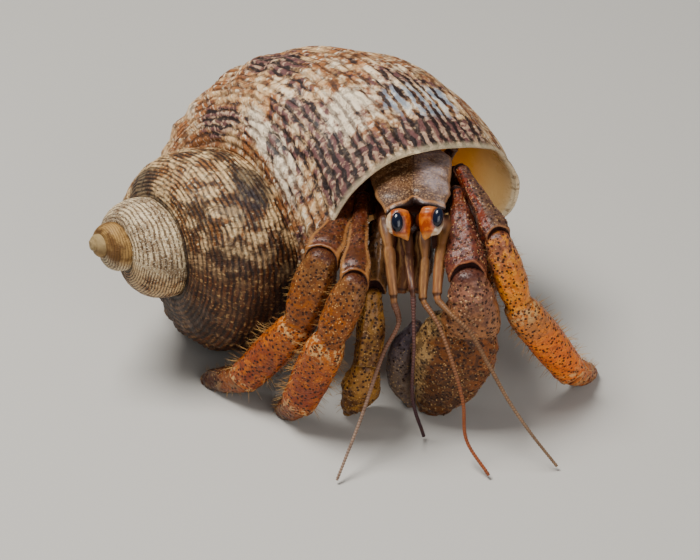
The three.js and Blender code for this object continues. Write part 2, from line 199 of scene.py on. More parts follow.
class Limb:
    """The skin of a limb: a section of two half sizes carried along a line, with its back facing dorsal.

    Angle 0 is at the limb's side, a quarter turn on is its back. lobes says how far, in mm, the far margin
    reaches out at the sides and is cut back on the back. relief(along, angle) raises the surface, in mm.
    """

    def __init__(self, path, dorsal, rows, square=2.4, lobes=(0.0, 0.0), relief=None):
        self.line = Line(path)
        self.dorsal = Vector(dorsal)
        self.rows = rows
        self.square = square
        self.lobes = lobes
        self.relief = relief or (lambda along, angle: 0.0)
        self.kept = {}

    def axes(self, along):
        if along not in self.kept:
            point, ahead = self.line.at(along)
            side = ahead.cross(self.dorsal).normalized()
            half = read_rows(self.rows, clamp(along))
            self.kept[along] = point, ahead, side, side.cross(ahead), half
        return self.kept[along]

    def point(self, along, angle, reach=1.0, lift=0.0):
        middle, ahead, side, back, (half_width, half_depth) = self.axes(along)
        c, s = math.cos(angle), math.sin(angle)
        outward = (abs(c) ** self.square + abs(s) ** self.square) ** (-1 / self.square) * reach
        rise = (self.relief(along, angle) if reach > 0.9 else 0.0) + lift
        margin = ease(along, 0.72, 1.0) * (self.lobes[0] * abs(c) ** 3 - self.lobes[1] * max(s, 0) ** 2)
        return (middle + ahead * margin + side * c * (outward * half_width + rise)
                + back * s * (outward * half_depth + rise))

    def normal(self, along, angle):
        here = self.point(along, angle)
        forth = self.point(along + 0.02, angle) - here
        round_ = self.point(along, angle + 0.08) - here
        out = round_.cross(forth).normalized()
        middle = self.axes(along)[0]
        return out if out.dot(here - middle) > 0 else -out


def limb_skin(limb, sides, rings, cup=True):
    """The closed plate of a limb, its round head in the plate before. With cup it ends in a margin."""
    skin = Skin()
    head = 0.8 * min(limb.axes(0.0)[4]) / limb.line.length
    steps = [(-head * math.cos(a), math.sin(a)) for a in (0.15, 0.45, 0.8, 1.15)]
    steps += [(i / rings, 1.0) for i in range(rings + 1)]
    if cup:
        steps += [(1.004, 0.96), (1.0, 0.9), (0.99, 0.78), (0.985, 0.4)]
    else:
        steps += [(1.012, 0.85), (1.022, 0.5)]
    turning = TURN / sides

    def place(number, corner):
        along, reach = steps[number]
        point = limb.point(along, corner * turning, reach)
        point.z = max(point.z, 0.0)
        return point

    skin.sweep(sides, list(range(len(steps))), place)
    for vert in skin.mesh.verts:
        number = int(round(clamp(vert[skin.along], 0, len(steps) - 1)))
        vert[skin.along] = steps[number][0] + (0.3 if number > len(steps) - 4 and cup else 0.0)
    return skin


# ---------------------------------------------------------------- finishes


def rgb(tint):
    """A colour written as six hex digits, as the linear values a shader takes."""
    parts = [int(tint[i:i + 2], 16) / 255 for i in (0, 2, 4)]
    return tuple(p / 12.92 if p <= 0.04045 else ((p + 0.055) / 1.055) ** 2.4 for p in parts) + (1.0,)


class Value:
    """A number that changes over a surface. Python's operators on it add Math nodes."""

    def __init__(self, finish, socket):
        self.finish = finish
        self.socket = socket

    def maths(self, operation, *inputs):
        return self.finish.node("ShaderNodeMath", {"operation": operation}, dict(enumerate(inputs)))

    def __add__(self, other):
        return self.maths("ADD", self, other)

    def __sub__(self, other):
        return self.maths("SUBTRACT", self, other)

    def __rsub__(self, other):
        return self.maths("SUBTRACT", other, self)

    def __mul__(self, other):
        return self.maths("MULTIPLY", self, other)

    def __truediv__(self, other):
        return self.maths("DIVIDE", self, other)

    def __pow__(self, other):
        return self.maths("POWER", self, other)

    __radd__ = __add__
    __rmul__ = __mul__

    def cosine(self):
        return self.maths("COSINE", self)

    def sine(self):
        return self.maths("SINE", self)

    def unsigned(self):
        return self.maths("ABSOLUTE", self)


class Finish:
    """A material under way. Everything that changes over the surface ends in colour, roughness or bump."""

    def __init__(self, name, coat=0.0, sheen=0.0, under=0.0):
        self.material = bpy.data.materials.new(name)
        self.material.use_nodes = True
        self.tree = self.material.node_tree
        self.shader = self.tree.nodes["Principled BSDF"]
        fixed = {"Coat Weight": coat, "Coat Roughness": 0.18, "Sheen Weight": sheen}
        fixed["Specular IOR Level"] = 0.28
        if under:
            fixed["Subsurface Weight"] = under
            fixed["Subsurface Radius"] = (1.0, 0.45, 0.2)
            fixed["Subsurface Scale"] = 0.0006
        for socket, given in fixed.items():
            self.shader.inputs[socket].default_value = given
        place = self.node("ShaderNodeTexCoord", {}, {}, "Object")
        self.mm = self.node("ShaderNodeVectorMath", {"operation": "SCALE"}, {0: place, "Scale": 1000.0}, 0)

    def node(self, kind, settings, inputs, output=0):
        """Adds a node, sets it up, links or fills its sockets and returns one output."""
        made = self.tree.nodes.new(kind)
        for key, setting in settings.items():
            setattr(made, key, setting)
        for key, given in inputs.items():
            socket = made.inputs[key]
            if isinstance(given, Value):
                self.tree.links.new(given.socket, socket)
            else:
                socket.default_value = given
        return Value(self, made.outputs[output])

    def spread(self, name="spread"):
        """The two numbers of the piece's own map: around and along."""
        place = self.node("ShaderNodeUVMap", {"uv_map": name}, {})
        return self.part(place, "X"), self.part(place, "Y")

    def part(self, vector, axis):
        return self.node("ShaderNodeSeparateXYZ", {}, {0: vector}, axis)

    def mark(self):
        return self.node("ShaderNodeAttribute", {"attribute_name": "mark"}, {}, "Fac")

    def vector(self, x, y, z):
        return self.node("ShaderNodeCombineXYZ", {}, {0: x, 1: y, 2: z})

    def noise(self, size, detail=2.0, place=None):
        """Cloudy noise from 0 to 1. size is in mm, unless place gives other coordinates."""
        sockets = {"Vector": place or self.mm, "Scale": 1 / size, "Detail": detail, "Roughness": 0.55}
        return self.node("ShaderNodeTexNoise", {}, sockets, "Fac")

    def cells(self, size, place=None):
        """Distance to the nearest of scattered points, in cell sizes."""
        sockets = {"Vector": place or self.mm, "Scale": 1 / size}
        return self.node("ShaderNodeTexVoronoi", {}, sockets, "Distance")

    def step(self, value, low, high):
        """Smoothly 0 below low and 1 above high. low may be the larger, which turns it round."""
        return self.node("ShaderNodeMapRange", {"interpolation_type": "SMOOTHSTEP"},
                         {"Value": value, "From Min": low, "From Max": high}, "Result")

    def mix(self, share, first, second):
        """The second colour over the first. A colour may be six hex digits."""
        first, second = [rgb(tint) if isinstance(tint, str) else tint for tint in (first, second)]
        return self.node("ShaderNodeMix", {"data_type": "RGBA"}, {0: share, 6: first, 7: second}, 2)

    def near(self, spot, radius):
        """1 round a place of the animal's own frame, fading out at radius in mm, with a ragged edge."""
        away = self.node("ShaderNodeVectorMath", {"operation": "DISTANCE"},
                         {0: self.mm, 1: tuple(placed(spot) * 1000)}, "Value")
        ragged = away + (self.noise(radius * 0.45, 3.0) - 0.5) * radius * 1.1
        return self.step(ragged, radius, radius * 0.4)

    def patch(self, here, spot, reach):
        """1 at a place of a map, fading slowly out past reach. here, spot and reach are each two numbers."""
        first = (here[0] - spot[0]) / reach[0]
        second = (here[1] - spot[1]) / reach[1]
        return self.step((first * first + second * second) ** 0.5, 1.7, 0.2)

    def patches(self, here, spots):
        """The sum of patches, each given as its place and its reach."""
        return sum(self.patch(here, spot[:2], spot[2:]) for spot in spots)

    def done(self, colour, roughness, bump, depth):
        """Links what was made. depth is the height in mm of a bump of 1."""
        sockets = {"Strength": 1.0, "Distance": depth * MM, "Height": bump}
        relief = self.node("ShaderNodeBump", {}, sockets, "Normal")
        for socket, given in {"Base Color": colour, "Roughness": roughness, "Normal": relief}.items():
            self.tree.links.new(given.socket, self.shader.inputs[socket])
        return self.material


# ---------------------------------------------------------------- shell

APEX = Vector((-27.3, 3.8, 17.87))
SHELL_AXIS = Vector((0.8506, 0.4815, -0.2112)).normalized()
SHELL_UP = Vector((-0.0804, 0.5162, 0.8527)).normalized()
SHELL_SIDE = SHELL_AXIS.cross(SHELL_UP)
WHORL_GROWTH = 2.05
LIP_SIZE = 21.5
LIP_TURN = math.radians(114)
WHORL_RADIUS = 0.497           # middle of the tube section, as shares of the scale
WHORL_DROP = 1.606
TUBE_ACROSS = 0.562            # half sizes of the tube section, as shares of the scale
TUBE_ALONG = 0.714
INNER_LIP_BACK, LIP_BACK = 2, 41        # degrees that the lip stands back at its inner and outer side
LIP_MIDDLE, LIP_HALF = math.radians(18), math.radians(110)
FLOOR_PRESS = 0.3
COLUMELLA = 1.7
PILLAR_FROM, PILLAR_LONG, PILLAR_TAPER, PILLAR_SIDES = 2.5, 30, 0.066, 20
FIRST_TURN = -5.4              # turns back from the lip to the tip of the spire
BLUNT = 0.7                    # the tip is worn down by this much
DEEPEST_TURN = -0.55           # how far in the hollow goes
CORDS = 50                     # spiral cords on the part of the tube that shows
CORD_STEPS = 5                 # corners across a cord
HIDDEN_STEPS = 22              # corners on the part that lies against the earlier whorl
SHOWN_FROM, SHOWN_TO = math.radians(-112), math.radians(132)
SHOWN_CORNERS = CORDS * CORD_STEPS
SHELL_SIDES = SHOWN_CORNERS + HIDDEN_STEPS
CORD_HEIGHT = 0.0115           # as a share of the section
CREST = (1.0, 0.7, -0.75, -0.75, 0.7)   # height across one cord
RIBS = 14                      # broad low ribs under the cords of the last whorl
RIB_HEIGHT = 0.014
SLANT_FROM = -0.9              # from here on the growth lines turn parallel to the lip
LAST_RINGS = 84
HOLLOW_RINGS = (0.985, 0.96, 0.92, 0.86, 0.78, 0.68, 0.56, 0.42, 0.28, 0.14, 0.0)


def round_axis(down, out, angle):
    """A point so far down the axis of the shell and so far out from it, never under the floor."""
    point = APEX + SHELL_AXIS * down + SHELL_UP * out * math.cos(angle) + SHELL_SIDE * out * math.sin(angle)
    point.z = max(point.z - FLOOR_PRESS, 0.0)
    return point


def shell_point(turn, round_, share, clear=0.0):
    """A point of the shell. turn counts from the lip, round_ goes round the section, share is how far out."""
    size = LIP_SIZE * WHORL_GROWTH**turn
    out = size * (WHORL_RADIUS + share * TUBE_ACROSS * math.cos(round_))
    kept = max(out, size * 0.03, clear)
    angle = turn * TURN + LIP_TURN
    worn = BLUNT * clamp(1 - size / 2.9)
    down = worn + size * (WHORL_DROP + share * TUBE_ALONG * math.sin(round_))
    return round_axis(down, kept, angle)


def lip_turn(round_):
    """Where the lip ends, in turns, at an angle round the section."""
    away = abs((round_ - LIP_MIDDLE + math.pi) % TURN - math.pi) / LIP_HALF
    cut = LIP_BACK * (1 - away**4) ** 2 if away < 1 else 0
    return -(INNER_LIP_BACK + cut) / 360


def section_angle(corner):
    """The angle round the section of a corner. The corners lie close on the cords and wide where hidden."""
    if corner <= SHOWN_CORNERS:
        return SHOWN_FROM + (SHOWN_TO - SHOWN_FROM) * corner / SHOWN_CORNERS
    return SHOWN_TO + (TURN - SHOWN_TO + SHOWN_FROM) * (corner - SHOWN_CORNERS) / HIDDEN_STEPS


def cord_relief(turn, corner):
    """Height of ribs, cords, growth lines and knobs over the plain whorl, as a share of the section."""
    angle = section_angle(corner)
    rib = RIB_HEIGHT * math.cos(RIBS * angle) * ease(turn, -1.1, -0.85)
    if corner > SHOWN_CORNERS:
        return rib
    cord, phase = divmod(corner, CORD_STEPS)
    crest = -0.6 if turn < -1.96 and cord % 2 else CREST[phase]
    fades = ease(corner, 0, 16) * ease(SHOWN_CORNERS - corner, 0, 16) * ease(turn, -4.2, -3.2)
    worn = 0.35 + 0.65 * ease(noise.noise(Vector((turn * 7, corner * 0.022, 9))), -0.45, -0.05)
    strength = (0.85 + 0.15 * math.cos(cord * math.pi)) * (0.9 + 0.3 * math.sin(cord * 1.7)) * worn
    beads = 0.75 + (0.5 + 0.3 * ease(turn, -0.8, -1.0)) * noise.noise(Vector((turn * 60, cord * 2.3, 5)))
    growth = (0.007 + 0.005 * ease(turn, -0.8, -1.0)) * noise.noise(Vector((turn * 44, corner * 0.05, 3)))
    shoulder = hill(angle, math.radians(-38), 0.34) * (0.5 + 0.5 * math.cos(turn * TURN * 22))
    knob = 0.06 * shoulder * ease(turn, -1.9, -1.0) * ease(turn, -0.06, -0.2)
    uneven = 0.02 * noise.noise(Vector((turn * 13, corner * 0.022, 0)))
    small = (growth + uneven) * ease(turn, -3.2, -2.4)
    return rib + CORD_HEIGHT * crest * strength * beads * fades + knob + small


def make_shell(finish):
    """The spire, last whorl, lip and hollow behind it as one closed surface, with the pillar inside."""
    skin = Skin()
    plan = [("whorl", FIRST_TURN + i / 30) for i in range(round((-2.0 - FIRST_TURN) * 30))]
    plan += [("whorl", -2.0 + i / 60) for i in range(42)]
    plan += [("whorl", -1.3 + i / 88) for i in range(round((SLANT_FROM + 1.3) * 88))]
    plan += [("last", i / LAST_RINGS) for i in range(LAST_RINGS + 1)]
    plan += [("rim", 0.985), ("rim", 0.955)]
    plan += [("hollow", share) for share in HOLLOW_RINGS]

    def edge_turn(corner):
        return lip_turn(section_angle(corner)) + 0.001 * noise.noise(Vector((corner * 0.07, 0, 0)))

    def place(step, corner):
        kind, along = plan[step]
        angle = section_angle(corner)
        edge = edge_turn(corner)
        flare = 0.02 * hill(angle, 0.1, 0.8) - 0.05 * hill(angle, 0.95, 0.32) + 0.01 * hill(angle, 1.45, 0.25)
        if kind == "whorl":
            return shell_point(along, angle, 1 + cord_relief(along, corner))
        if kind == "last":
            turn = SLANT_FROM + (edge - SLANT_FROM) * along
            near_lip = ease(along, 0.8, 1.0)
            relief = cord_relief(SLANT_FROM * (1 - along), corner) * (1 - 0.85 * ease(along, 0.98, 1.0))
            return shell_point(turn, angle, 1 + relief + flare * near_lip - 0.012 * near_lip**3)
        thin = (1 - hill(angle, 1.3, 0.8)) * (1 - hill(angle, math.pi, 1.2))
        if kind == "rim":
            return shell_point(edge, angle, along + flare + 0.8 * thin * (0.985 - along))
        turn = DEEPEST_TURN + (edge - DEEPEST_TURN) * along
        hollow = 0.9 + 0.045 * along**12 + 0.028 * thin * along**6
        return shell_point(turn, angle, hollow + flare * ease(along, 0.5, 0.95), COLUMELLA)

    def around(corner):
        hidden = max(corner - SHOWN_CORNERS, 0)
        return (CORDS + hidden / 8) / 100 if hidden else corner / CORD_STEPS / 100

    skin.sweep(SHELL_SIDES, list(range(len(plan))), place, around)
    turn_of = {
        "whorl": lambda t: t,
        "last": lambda t: SLANT_FROM * (1 - t) - 0.02 * t,
        "rim": lambda t: 0.2,
        "hollow": lambda t: 1.3 - t,
    }
    for vert in skin.mesh.verts:
        kind, along = plan[round(clamp(vert[skin.along], 0, len(plan) - 1))]
        vert[skin.along] = turn_of[kind](along)
    before = set(skin.mesh.verts)

    def pillar_place(down, corner):
        reach = PILLAR_FROM + PILLAR_LONG * down
        out = reach * PILLAR_TAPER * (1 - 0.5 * down**6)
        return round_axis(reach, out, corner / PILLAR_SIDES * TURN)

    skin.sweep(PILLAR_SIDES, [i / 16 for i in range(17)], pillar_place)
    for vert in set(skin.mesh.verts) - before:
        vert[skin.along] = 1.3
    return skin.finished("turban_shell", finish, "shell", ["shell"], "spiral")


# Patches of the last whorl: turn, cord, reach in turns, reach in cords.
PURPLE_PATCHES = [(-0.034, 21, 0.02, 9), (-0.05, 13, 0.03, 3), (-0.13, 13, 0.05, 3),
                  (-0.095, 23.5, 0.045, 4.5), (-0.28, 8, 0.05, 1.8), (-0.2, 17, 0.04, 2),
                  (-0.16, 9, 0.02, 1.5)]
WHITE_PATCHES = [(-0.085, 16.5, 0.025, 2.6), (-0.12, 8, 0.05, 2.2), (-0.2, 9, 0.03, 1.6)]
SEAM_PATCHES = [(-1.33, 9, 0.06, 5), (-1.15, 24, 0.05, 4)]


def shell_finish():
    f = Finish("weathered_shell", coat=0.05)
    around, turn = f.spread("spiral")
    cord = around * 100.0
    here = (turn, cord)
    older = f.step(turn, -0.5, -0.62)
    oldest = f.step(turn, -1.9, -1.97)
    baby = f.step(turn, -2.86, -2.95)
    inside = f.step(turn, 0.1, 0.25)
    wide = f.step(turn, -1.95, -1.97) * 0.5
    swayed = cord * (1 - wide) + (f.noise(1.5, 2.0) - 0.5) * 1.3
    crest = (swayed * TURN).cosine() * 0.5 + 0.5
    cord_number = cord.maths("FLOOR", cord + 0.5)
    held = cord_number + (cord - cord_number) * 0.4
    wander = f.noise(1.7, 3.0)
    clouds = f.noise(3.4, 3.0)
    speckle = f.noise(0.45, 3.0)
    lean = turn + (f.noise(3.2, 2.0) - 0.5) * 0.05 + cord * 0.0012
    flame = f.noise(1.0, 4.0, f.vector(lean * 15.0, cord * 0.07, turn * 2.0))
    dash = f.noise(1.0, 3.0, f.vector(lean * 70.0, held * 1.9, 0.0))
    fine = f.noise(1.0, 3.0, f.vector(turn * 190.0, held * 2.7, 4.0))
    growth = f.noise(1.0, 3.0, f.vector(lean * 150.0, cord * 0.3, 7.0))
    broken = (dash - 0.5) * 0.7 + (wander - 0.5) * 0.6 + (speckle - 0.5) * 0.25
    purple_field = flame + broken + f.patches(here, PURPLE_PATCHES) * 0.3
    purple_share = f.step(purple_field, 0.6, 0.74)
    white_field = 1 - flame - broken * 0.8 + f.patches(here, WHITE_PATCHES) * 0.3
    white_share = f.step(white_field, 0.56, 0.78)
    # groove is 1 in the grooves between the cords, where painted shade is laid
    groove = f.step(crest, 0.5, 0.08)
    # cream ground with tan, orange and brown blotches and white patches
    cream = f.mix(f.step(wander, 0.4, 0.58), "d2aa7a", "8a5832")
    cream = f.mix(f.step(clouds, 0.48, 0.62) * 0.45, cream, "a86430")
    cream = f.mix(white_share * 0.8, cream, "ecdcc0")
    cream = f.mix(f.step(dash, 0.5, 0.62) * (0.65 - white_share * 0.3), cream, "6c4226")
    cream = f.mix(f.step(fine, 0.55, 0.65) * 0.65, cream, "f2e4c8")
    cream = f.mix(f.step(growth, 0.55, 0.63) * (0.65 - white_share * 0.2), cream, "4a2b14")
    cream = f.mix(f.step(speckle, 0.57, 0.66) * 0.45, cream, "4c2a18")
    # painted shade: the grooves of the cream ground darkened to dark brown
    cream = f.mix(groove * (f.step(wander, 0.36, 0.6) * 0.35 + 0.4), cream, "3a2010")
    # purple, near black towards the grooves: partly its own dark purple, partly painted shade
    purple = f.mix(f.step(crest, 0.3, 0.85), "140c10", "5e3c3c")
    purple = f.mix(f.step(fine, 0.52, 0.62) * 0.75, purple, "b89478")
    purple = f.mix(f.step(speckle, 0.54, 0.66) * 0.5, purple, "281620")
    purple = f.mix(f.step(dash, 0.48, 0.38) * f.step(crest, 0.3, 0.7) * 0.75, purple, "b8987c")
    # painted shade: the purple grooves darkened to near black
    purple = f.mix(groove * 0.85, purple, "140c10")
    colour = f.mix(purple_share * 0.92, cream, purple)
    # the earlier whorls: cream cords with painted shade in the grooves; lower down golden brown, darkened
    # with painted shade
    # low is 1 from about a turn back from the lip on, the part that shows low down under the spire
    low = f.step(turn + (wander - 0.5) * 0.12, -1.1, -0.98)
    old = f.mix(f.step(wander, 0.42, 0.58), "cca878", "845428")
    # painted shade: there the whorl and its flecks are darkened to dark golden brown, partly their own colour
    old = f.mix(low * 0.92, old, "4a2002")
    flecks = f.mix(low * 0.8, "e4cfa4", "a8742c")
    old = f.mix(f.step(fine, 0.53, 0.65) * 0.72, old, flecks)
    dark_share = f.step(dash * 0.6 + clouds + low * 0.06, 0.83, 0.96)
    old = f.mix(dark_share * 0.75, old, "301b0c")
    # painted shade: the grooves of the earlier whorls darkened
    old = f.mix(f.step(crest, 0.7, 0.2) * (f.step(wander + speckle, 0.75, 1.15) * 0.45 + 0.45), old, "1c0f08")
    old = f.mix(f.step(growth, 0.54, 0.63) * 0.65, old, "38200e")
    seams = f.step(cord, 8.0, 4.0) + f.patches(here, SEAM_PATCHES)
    old = f.mix(f.step(seams + broken, 0.35, 0.8) * 0.75, old, "1e1714")
    colour = f.mix(older, colour, old)
    pale = f.mix(f.step(dash, 0.46, 0.6) * 0.65, "e0c89e", "7c5028")
    pale = f.mix(f.step(clouds, 0.5, 0.6) * 0.6, pale, "54341a")
    # painted shade: the grooves of the third whorl darkened
    pale = f.mix(f.step(crest, 0.6, 0.15) * 0.8, pale, "42280f")
    pale = f.mix(f.step(fine, 0.54, 0.64) * 0.6, pale, "f4e8cc")
    # painted shade: the lower cords, down to the suture under the next whorl, darkened
    pale = f.mix(f.step(cord, 24.0, 30.0) * 0.7, pale, "2c1c0e")
    colour = f.mix(oldest, colour, pale)
    tip = f.mix(f.step(wander, 0.4, 0.6), "b48c50", "6c481c")
    # painted shade: the grooves of the tip darkened
    tip = f.mix(f.step(crest, 0.5, 0.1) * 0.5, tip, "4c3010")
    tip = f.mix(f.step(turn, -3.8, -4.1) * 0.8, tip, "c0a472")
    colour = f.mix(baby, colour, tip)
    # stains and bare worn patches
    colour = f.mix(f.near((-7.0, 17.0, 23.0), 6.0) * 0.2, colour, "984c14")
    colour = f.mix(f.near((-9.5, 3.5, 23.5), 4.4) * 0.8, colour, "262228")
    blue = f.step(f.patch(here, (-0.075, 24), (0.025, 4.5)) + broken, 0.4, 0.8)
    worn = f.mix(f.step(wander, 0.42, 0.56), "c6c8c6", "7c8894")
    colour = f.mix(blue * f.step(crest, 0.35, 0.75) * 0.85, colour, worn)
    colour = f.mix(f.step(turn, -0.028, -0.021) * (1 - inside) * 0.6, colour, "ecd8b0")
    ochre = f.mix(f.step(turn, 0.45, 0.75), "f09c28", "b25606")
    lining = f.mix(f.step(turn + (clouds - 0.5) * 0.1, 0.36, 0.52), "ffcc80", ochre)
    edge = f.mix(f.step(speckle + wander, 1.0, 1.2) * 0.7, "ffe6ba", "a07c50")
    lining = f.mix(f.step(turn, 0.36, 0.26), lining, edge)
    colour = f.mix(inside, colour, lining)
    rough = 0.6 - inside * 0.3 + (wander - 0.5) * 0.25
    bump = speckle * 0.8 + fine * 0.6 + dash * 0.5 + growth * 0.7 + f.noise(0.2, 2.0) * 0.4
    return f.done(colour, rough, bump * (1 - inside * 0.85), 0.18)


# ---------------------------------------------------------------- plates of the animal

MERUS_KEELS = (2.5, 0.64)      # angles round the merus of its two edges
KEEL_GRAINS = 26
UPWARDS = (0, -0.3, 1)
FORWARDS = (0, -1, 0.35)
PROFILES = {
    "base": [[0, 0.7, 0.7], [0.5, 1, 1], [1, 0.75, 0.75]],
    "merus": [[0, 0.5, 0.5], [0.3, 0.54, 0.7], [0.6, 0.64, 0.86], [0.88, 1, 1], [1, 0.9, 0.9]],
    "carpus": [[0, 0.86, 0.98], [0.35, 1.1, 1.08], [0.65, 1.08, 1.05], [1, 0.8, 0.85]],
    "propodus": [[0, 0.9, 0.9], [0.14, 1.04, 1.04], [0.5, 1.05, 1.04], [0.88, 0.96, 0.96], [1, 0.84, 0.84]],
    "dactylus": [[0, 1.0, 1.0], [0.4, 1.05, 1.03], [0.8, 0.86, 0.85], [1, 0.58, 0.6]],
}
DORSAL = {"base": UPWARDS, "merus": UPWARDS, "carpus": FORWARDS, "propodus": FORWARDS, "dactylus": FORWARDS}
LOBES = {"base": (0.2, 0.1), "merus": (0.5, 0.3), "carpus": (0.3, 0.2), "propodus": (0.25, 0.15),
         "dactylus": (0.0, 0.0)}
LEGS = {
    "leg3_right": (
        [(2.2, 12.2, 18.6), (0.9, 9, 20.8), (-2.75, -1.5, 19.4),
         (-5.1, -2.4, 12), (-11, 0.8, 3.1), (-15, 4.7, 0.2)],
        [(1.1, 1.3), (2.0, 1.75), (1.95, 1.65), (1.85, 1.55), (1.3, 1.2)]),
    "leg2_right": (
        [(2.8, 9.4, 19), (1.2, 6.5, 21.2), (0.45, -4.7, 18.8),
         (-2.2, -6, 12.3), (-5.3, -3.3, 2.9), (-7, -0.7, 0)],
        [(1.1, 1.3), (1.55, 1.75), (1.65, 1.6), (1.95, 1.6), (1.3, 1.15)]),
    "leg2_left": (
        [(9.8, 11.6, 19.6), (11.4, 8.9, 23.1), (14.7, 0.4, 20.6),
         (17.1, -1, 13.3), (22.9, 2.3, 2.9), (25.2, 6.1, 0)],
        [(1.1, 1.3), (1.4, 1.8), (1.5, 1.5), (1.8, 1.55), (1.3, 1.2)]),
    "leg3_left": (
        [(9.2, 13.4, 18.6), (11.4, 11.4, 19.6), (13.8, 5.4, 17.6),
         (13.9, 4.5, 10.6), (12.9, 9.6, 3), (13.2, 14.8, 0)],
        [(1, 1.2), (1.3, 1.6), (1.3, 1.4), (1.3, 1.3), (0.85, 0.85)]),
}
# Each finish: near colour, far colour, blotch colour, dots share 0..1, rim colour, roughness.
PLATE_TINTS = {
    "base": ("321305", "421d09", "230903", 0.2, "532e14", 0.5),
    "merus": ("481806", "4e260c", "5e3020", 0.75, "8e561e", 0.44),
    "carpus": ("7a4c24", "8b480b", "5e2e0b", 0.6, "975d1d", 0.46),
    "propodus": ("984800", "8c3a00", "bc6200", 1.0, "aa6617", 0.48),
    "dactylus": ("894617", "48200d", "876745", 0.5, "a47237", 0.48),
    "left_merus": ("502f22", "5f422f", "3d2520", 0.8, "956035", 0.46),
    "left_carpus": ("96583a", "d07216", "e48f20", 1.0, "ca9246", 0.46),
    "left_propodus": ("ae6a33", "d76401", "e87c02", 1.0, "c7802b", 0.5),
    "left_dactylus": ("c46516", "874316", "c48f56", 0.4, "bc8348", 0.46),
    "claw_merus": ("5f260c", "693524", "411c1d", 0.9, "9b5c35", 0.48),
    "claw_carpus": ("845540", "9a6238", "58352a", 0.7, "b48453", 0.46),
    "claw_palm": ("6e3907", "5b320c", "311805", 0.95, "a87d3e", 0.46),
    "claw_finger": ("655860", "6e5a4b", "483d41", 0.1, "75553b", 0.4),
    "small_merus": ("6c482a", "754e29", "48270c", 0.2, "8c5e32", 0.48),
    "small_claw": ("946226", "6a4014", "a27028", 0.8, "a87d35", 0.48),
    "mouth": ("3a1608", "6d401b", "48200d", 0.0, "875b2d", 0.5),
}


def plate_finish(name, near, far, blotch, dots, rim, rough):
    """Horny plate: a tint that shifts along it, blotches, dark pores, pale grains and a pale rim."""
    f = Finish("plate_" + name, coat=0.06, under=0.04)
    around, along = f.spread()
    cloud = f.noise(2.6, 3.0)
    mottle = f.noise(0.8, 3.0)
    speckle = f.noise(0.26, 3.0)
    shift = f.step(along + (cloud - 0.5) * 0.8, 0.1, 0.6)
    colour = f.mix(shift, near, far)
    if name == "left_merus":
        colour = f.mix(f.step((around * TURN).cosine(), 0.2, 0.5) * 0.9, colour, "6a2206")
    if name == "claw_palm":
        inner = (around * TURN).cosine() + (cloud - 0.5) * 1.2
        colour = f.mix(f.step(inner, -0.3, -0.9) * 0.55, colour, "8c4814")
        colour = f.mix(f.step(inner, 0.45, 0.9) * 0.8, colour, "b08c58")
    colour = f.mix(f.step(mottle, 0.47, 0.62) * 0.7, colour, blotch)
    colour = f.mix(f.step(mottle, 0.44, 0.3) * 0.5, colour, "32160a")
    if name == "propodus":
        colour = f.mix(f.step(cloud, 0.46, 0.34) * 0.5, colour, "782404")
    if name.endswith("propodus"):
        ripple = along + (mottle - 0.5) * 0.35
        ends = f.step(ripple, 0.14, 0.02) + f.step(ripple, 0.84, 0.97)
        colour = f.mix(ends * f.step(f.noise(0.45, 2.0), 0.48, 0.56) * 0.7, colour, "d8ac70")
    grain = f.cells(0.3)
    pale = f.step(grain, 0.3, 0.14) * f.step(cloud, 0.36, 0.58)
    smooth = name in ("merus", "base", "mouth", "small_merus")
    grain_tint = "e89c34" if name.endswith("propodus") else "ecbc74"
    colour = f.mix(pale * (0.2 if smooth else 0.55), colour, grain_tint)
    colour = f.mix(f.step(speckle, 0.55, 0.66) * 0.5, colour, "2c1208")
    bend = f.vector(f.part(f.mm, "X") + 3.7, f.part(f.mm, "Y") + 1.9, f.part(f.mm, "Z") + 5.3)
    pore = f.cells(0.43, bend)
    crowded = f.step(f.noise(1.6, 1.0), 0.56 - 0.4 * dots, 0.62 - 0.4 * dots)
    dot = f.step(pore + (speckle - 0.5) * 0.3, 0.375, 0.25) * crowded
    colour = f.mix(dot * 0.9, colour, "240a03")
    if name == "merus":
        keels = sum(f.step((around * TURN - angle).cosine(), 0.965, 0.992) for angle in MERUS_KEELS)
        colour = f.mix(keels * f.step(along + (mottle - 0.5) * 0.6, 0.2, 0.6) * 0.6, colour, "a4703c")
    edge = f.step(along, 0.98, 0.995) * f.step(along, 1.1, 1.05)
    colour = f.mix(edge * 0.6, colour, rim)
    neck = f.step(along, -0.03, -0.1)
    colour = f.mix(neck * 0.75, colour, "38110a")
    socket = f.step(along, 1.12, 1.2)
    colour = f.mix(socket, colour, "2a0d08")
    colour = f.mix(f.step(f.mark(), 0.0, 1.0) * 0.6, colour, "cda478")
    bump = (grain * -0.5 + mottle * 0.7 + speckle * 0.7) * (0.45 if smooth else 1.0) - dot * 0.9
    shine = rough - 0.06 + (mottle - 0.5) * 0.3 + socket * 0.3 + dot * 0.2
    return f.done(colour, shine, bump, 0.08)


plates = {name: plate_finish(name, *tints) for name, tints in PLATE_TINTS.items()}


def grain_height(along, angle, seed, lengthways, across, height):
    """Uneven height of a plate, in mm, that closes up round the limb."""
    place = Vector((along * lengthways, math.cos(angle) * across + seed, math.sin(angle) * across))
    return noise.noise(place) * height


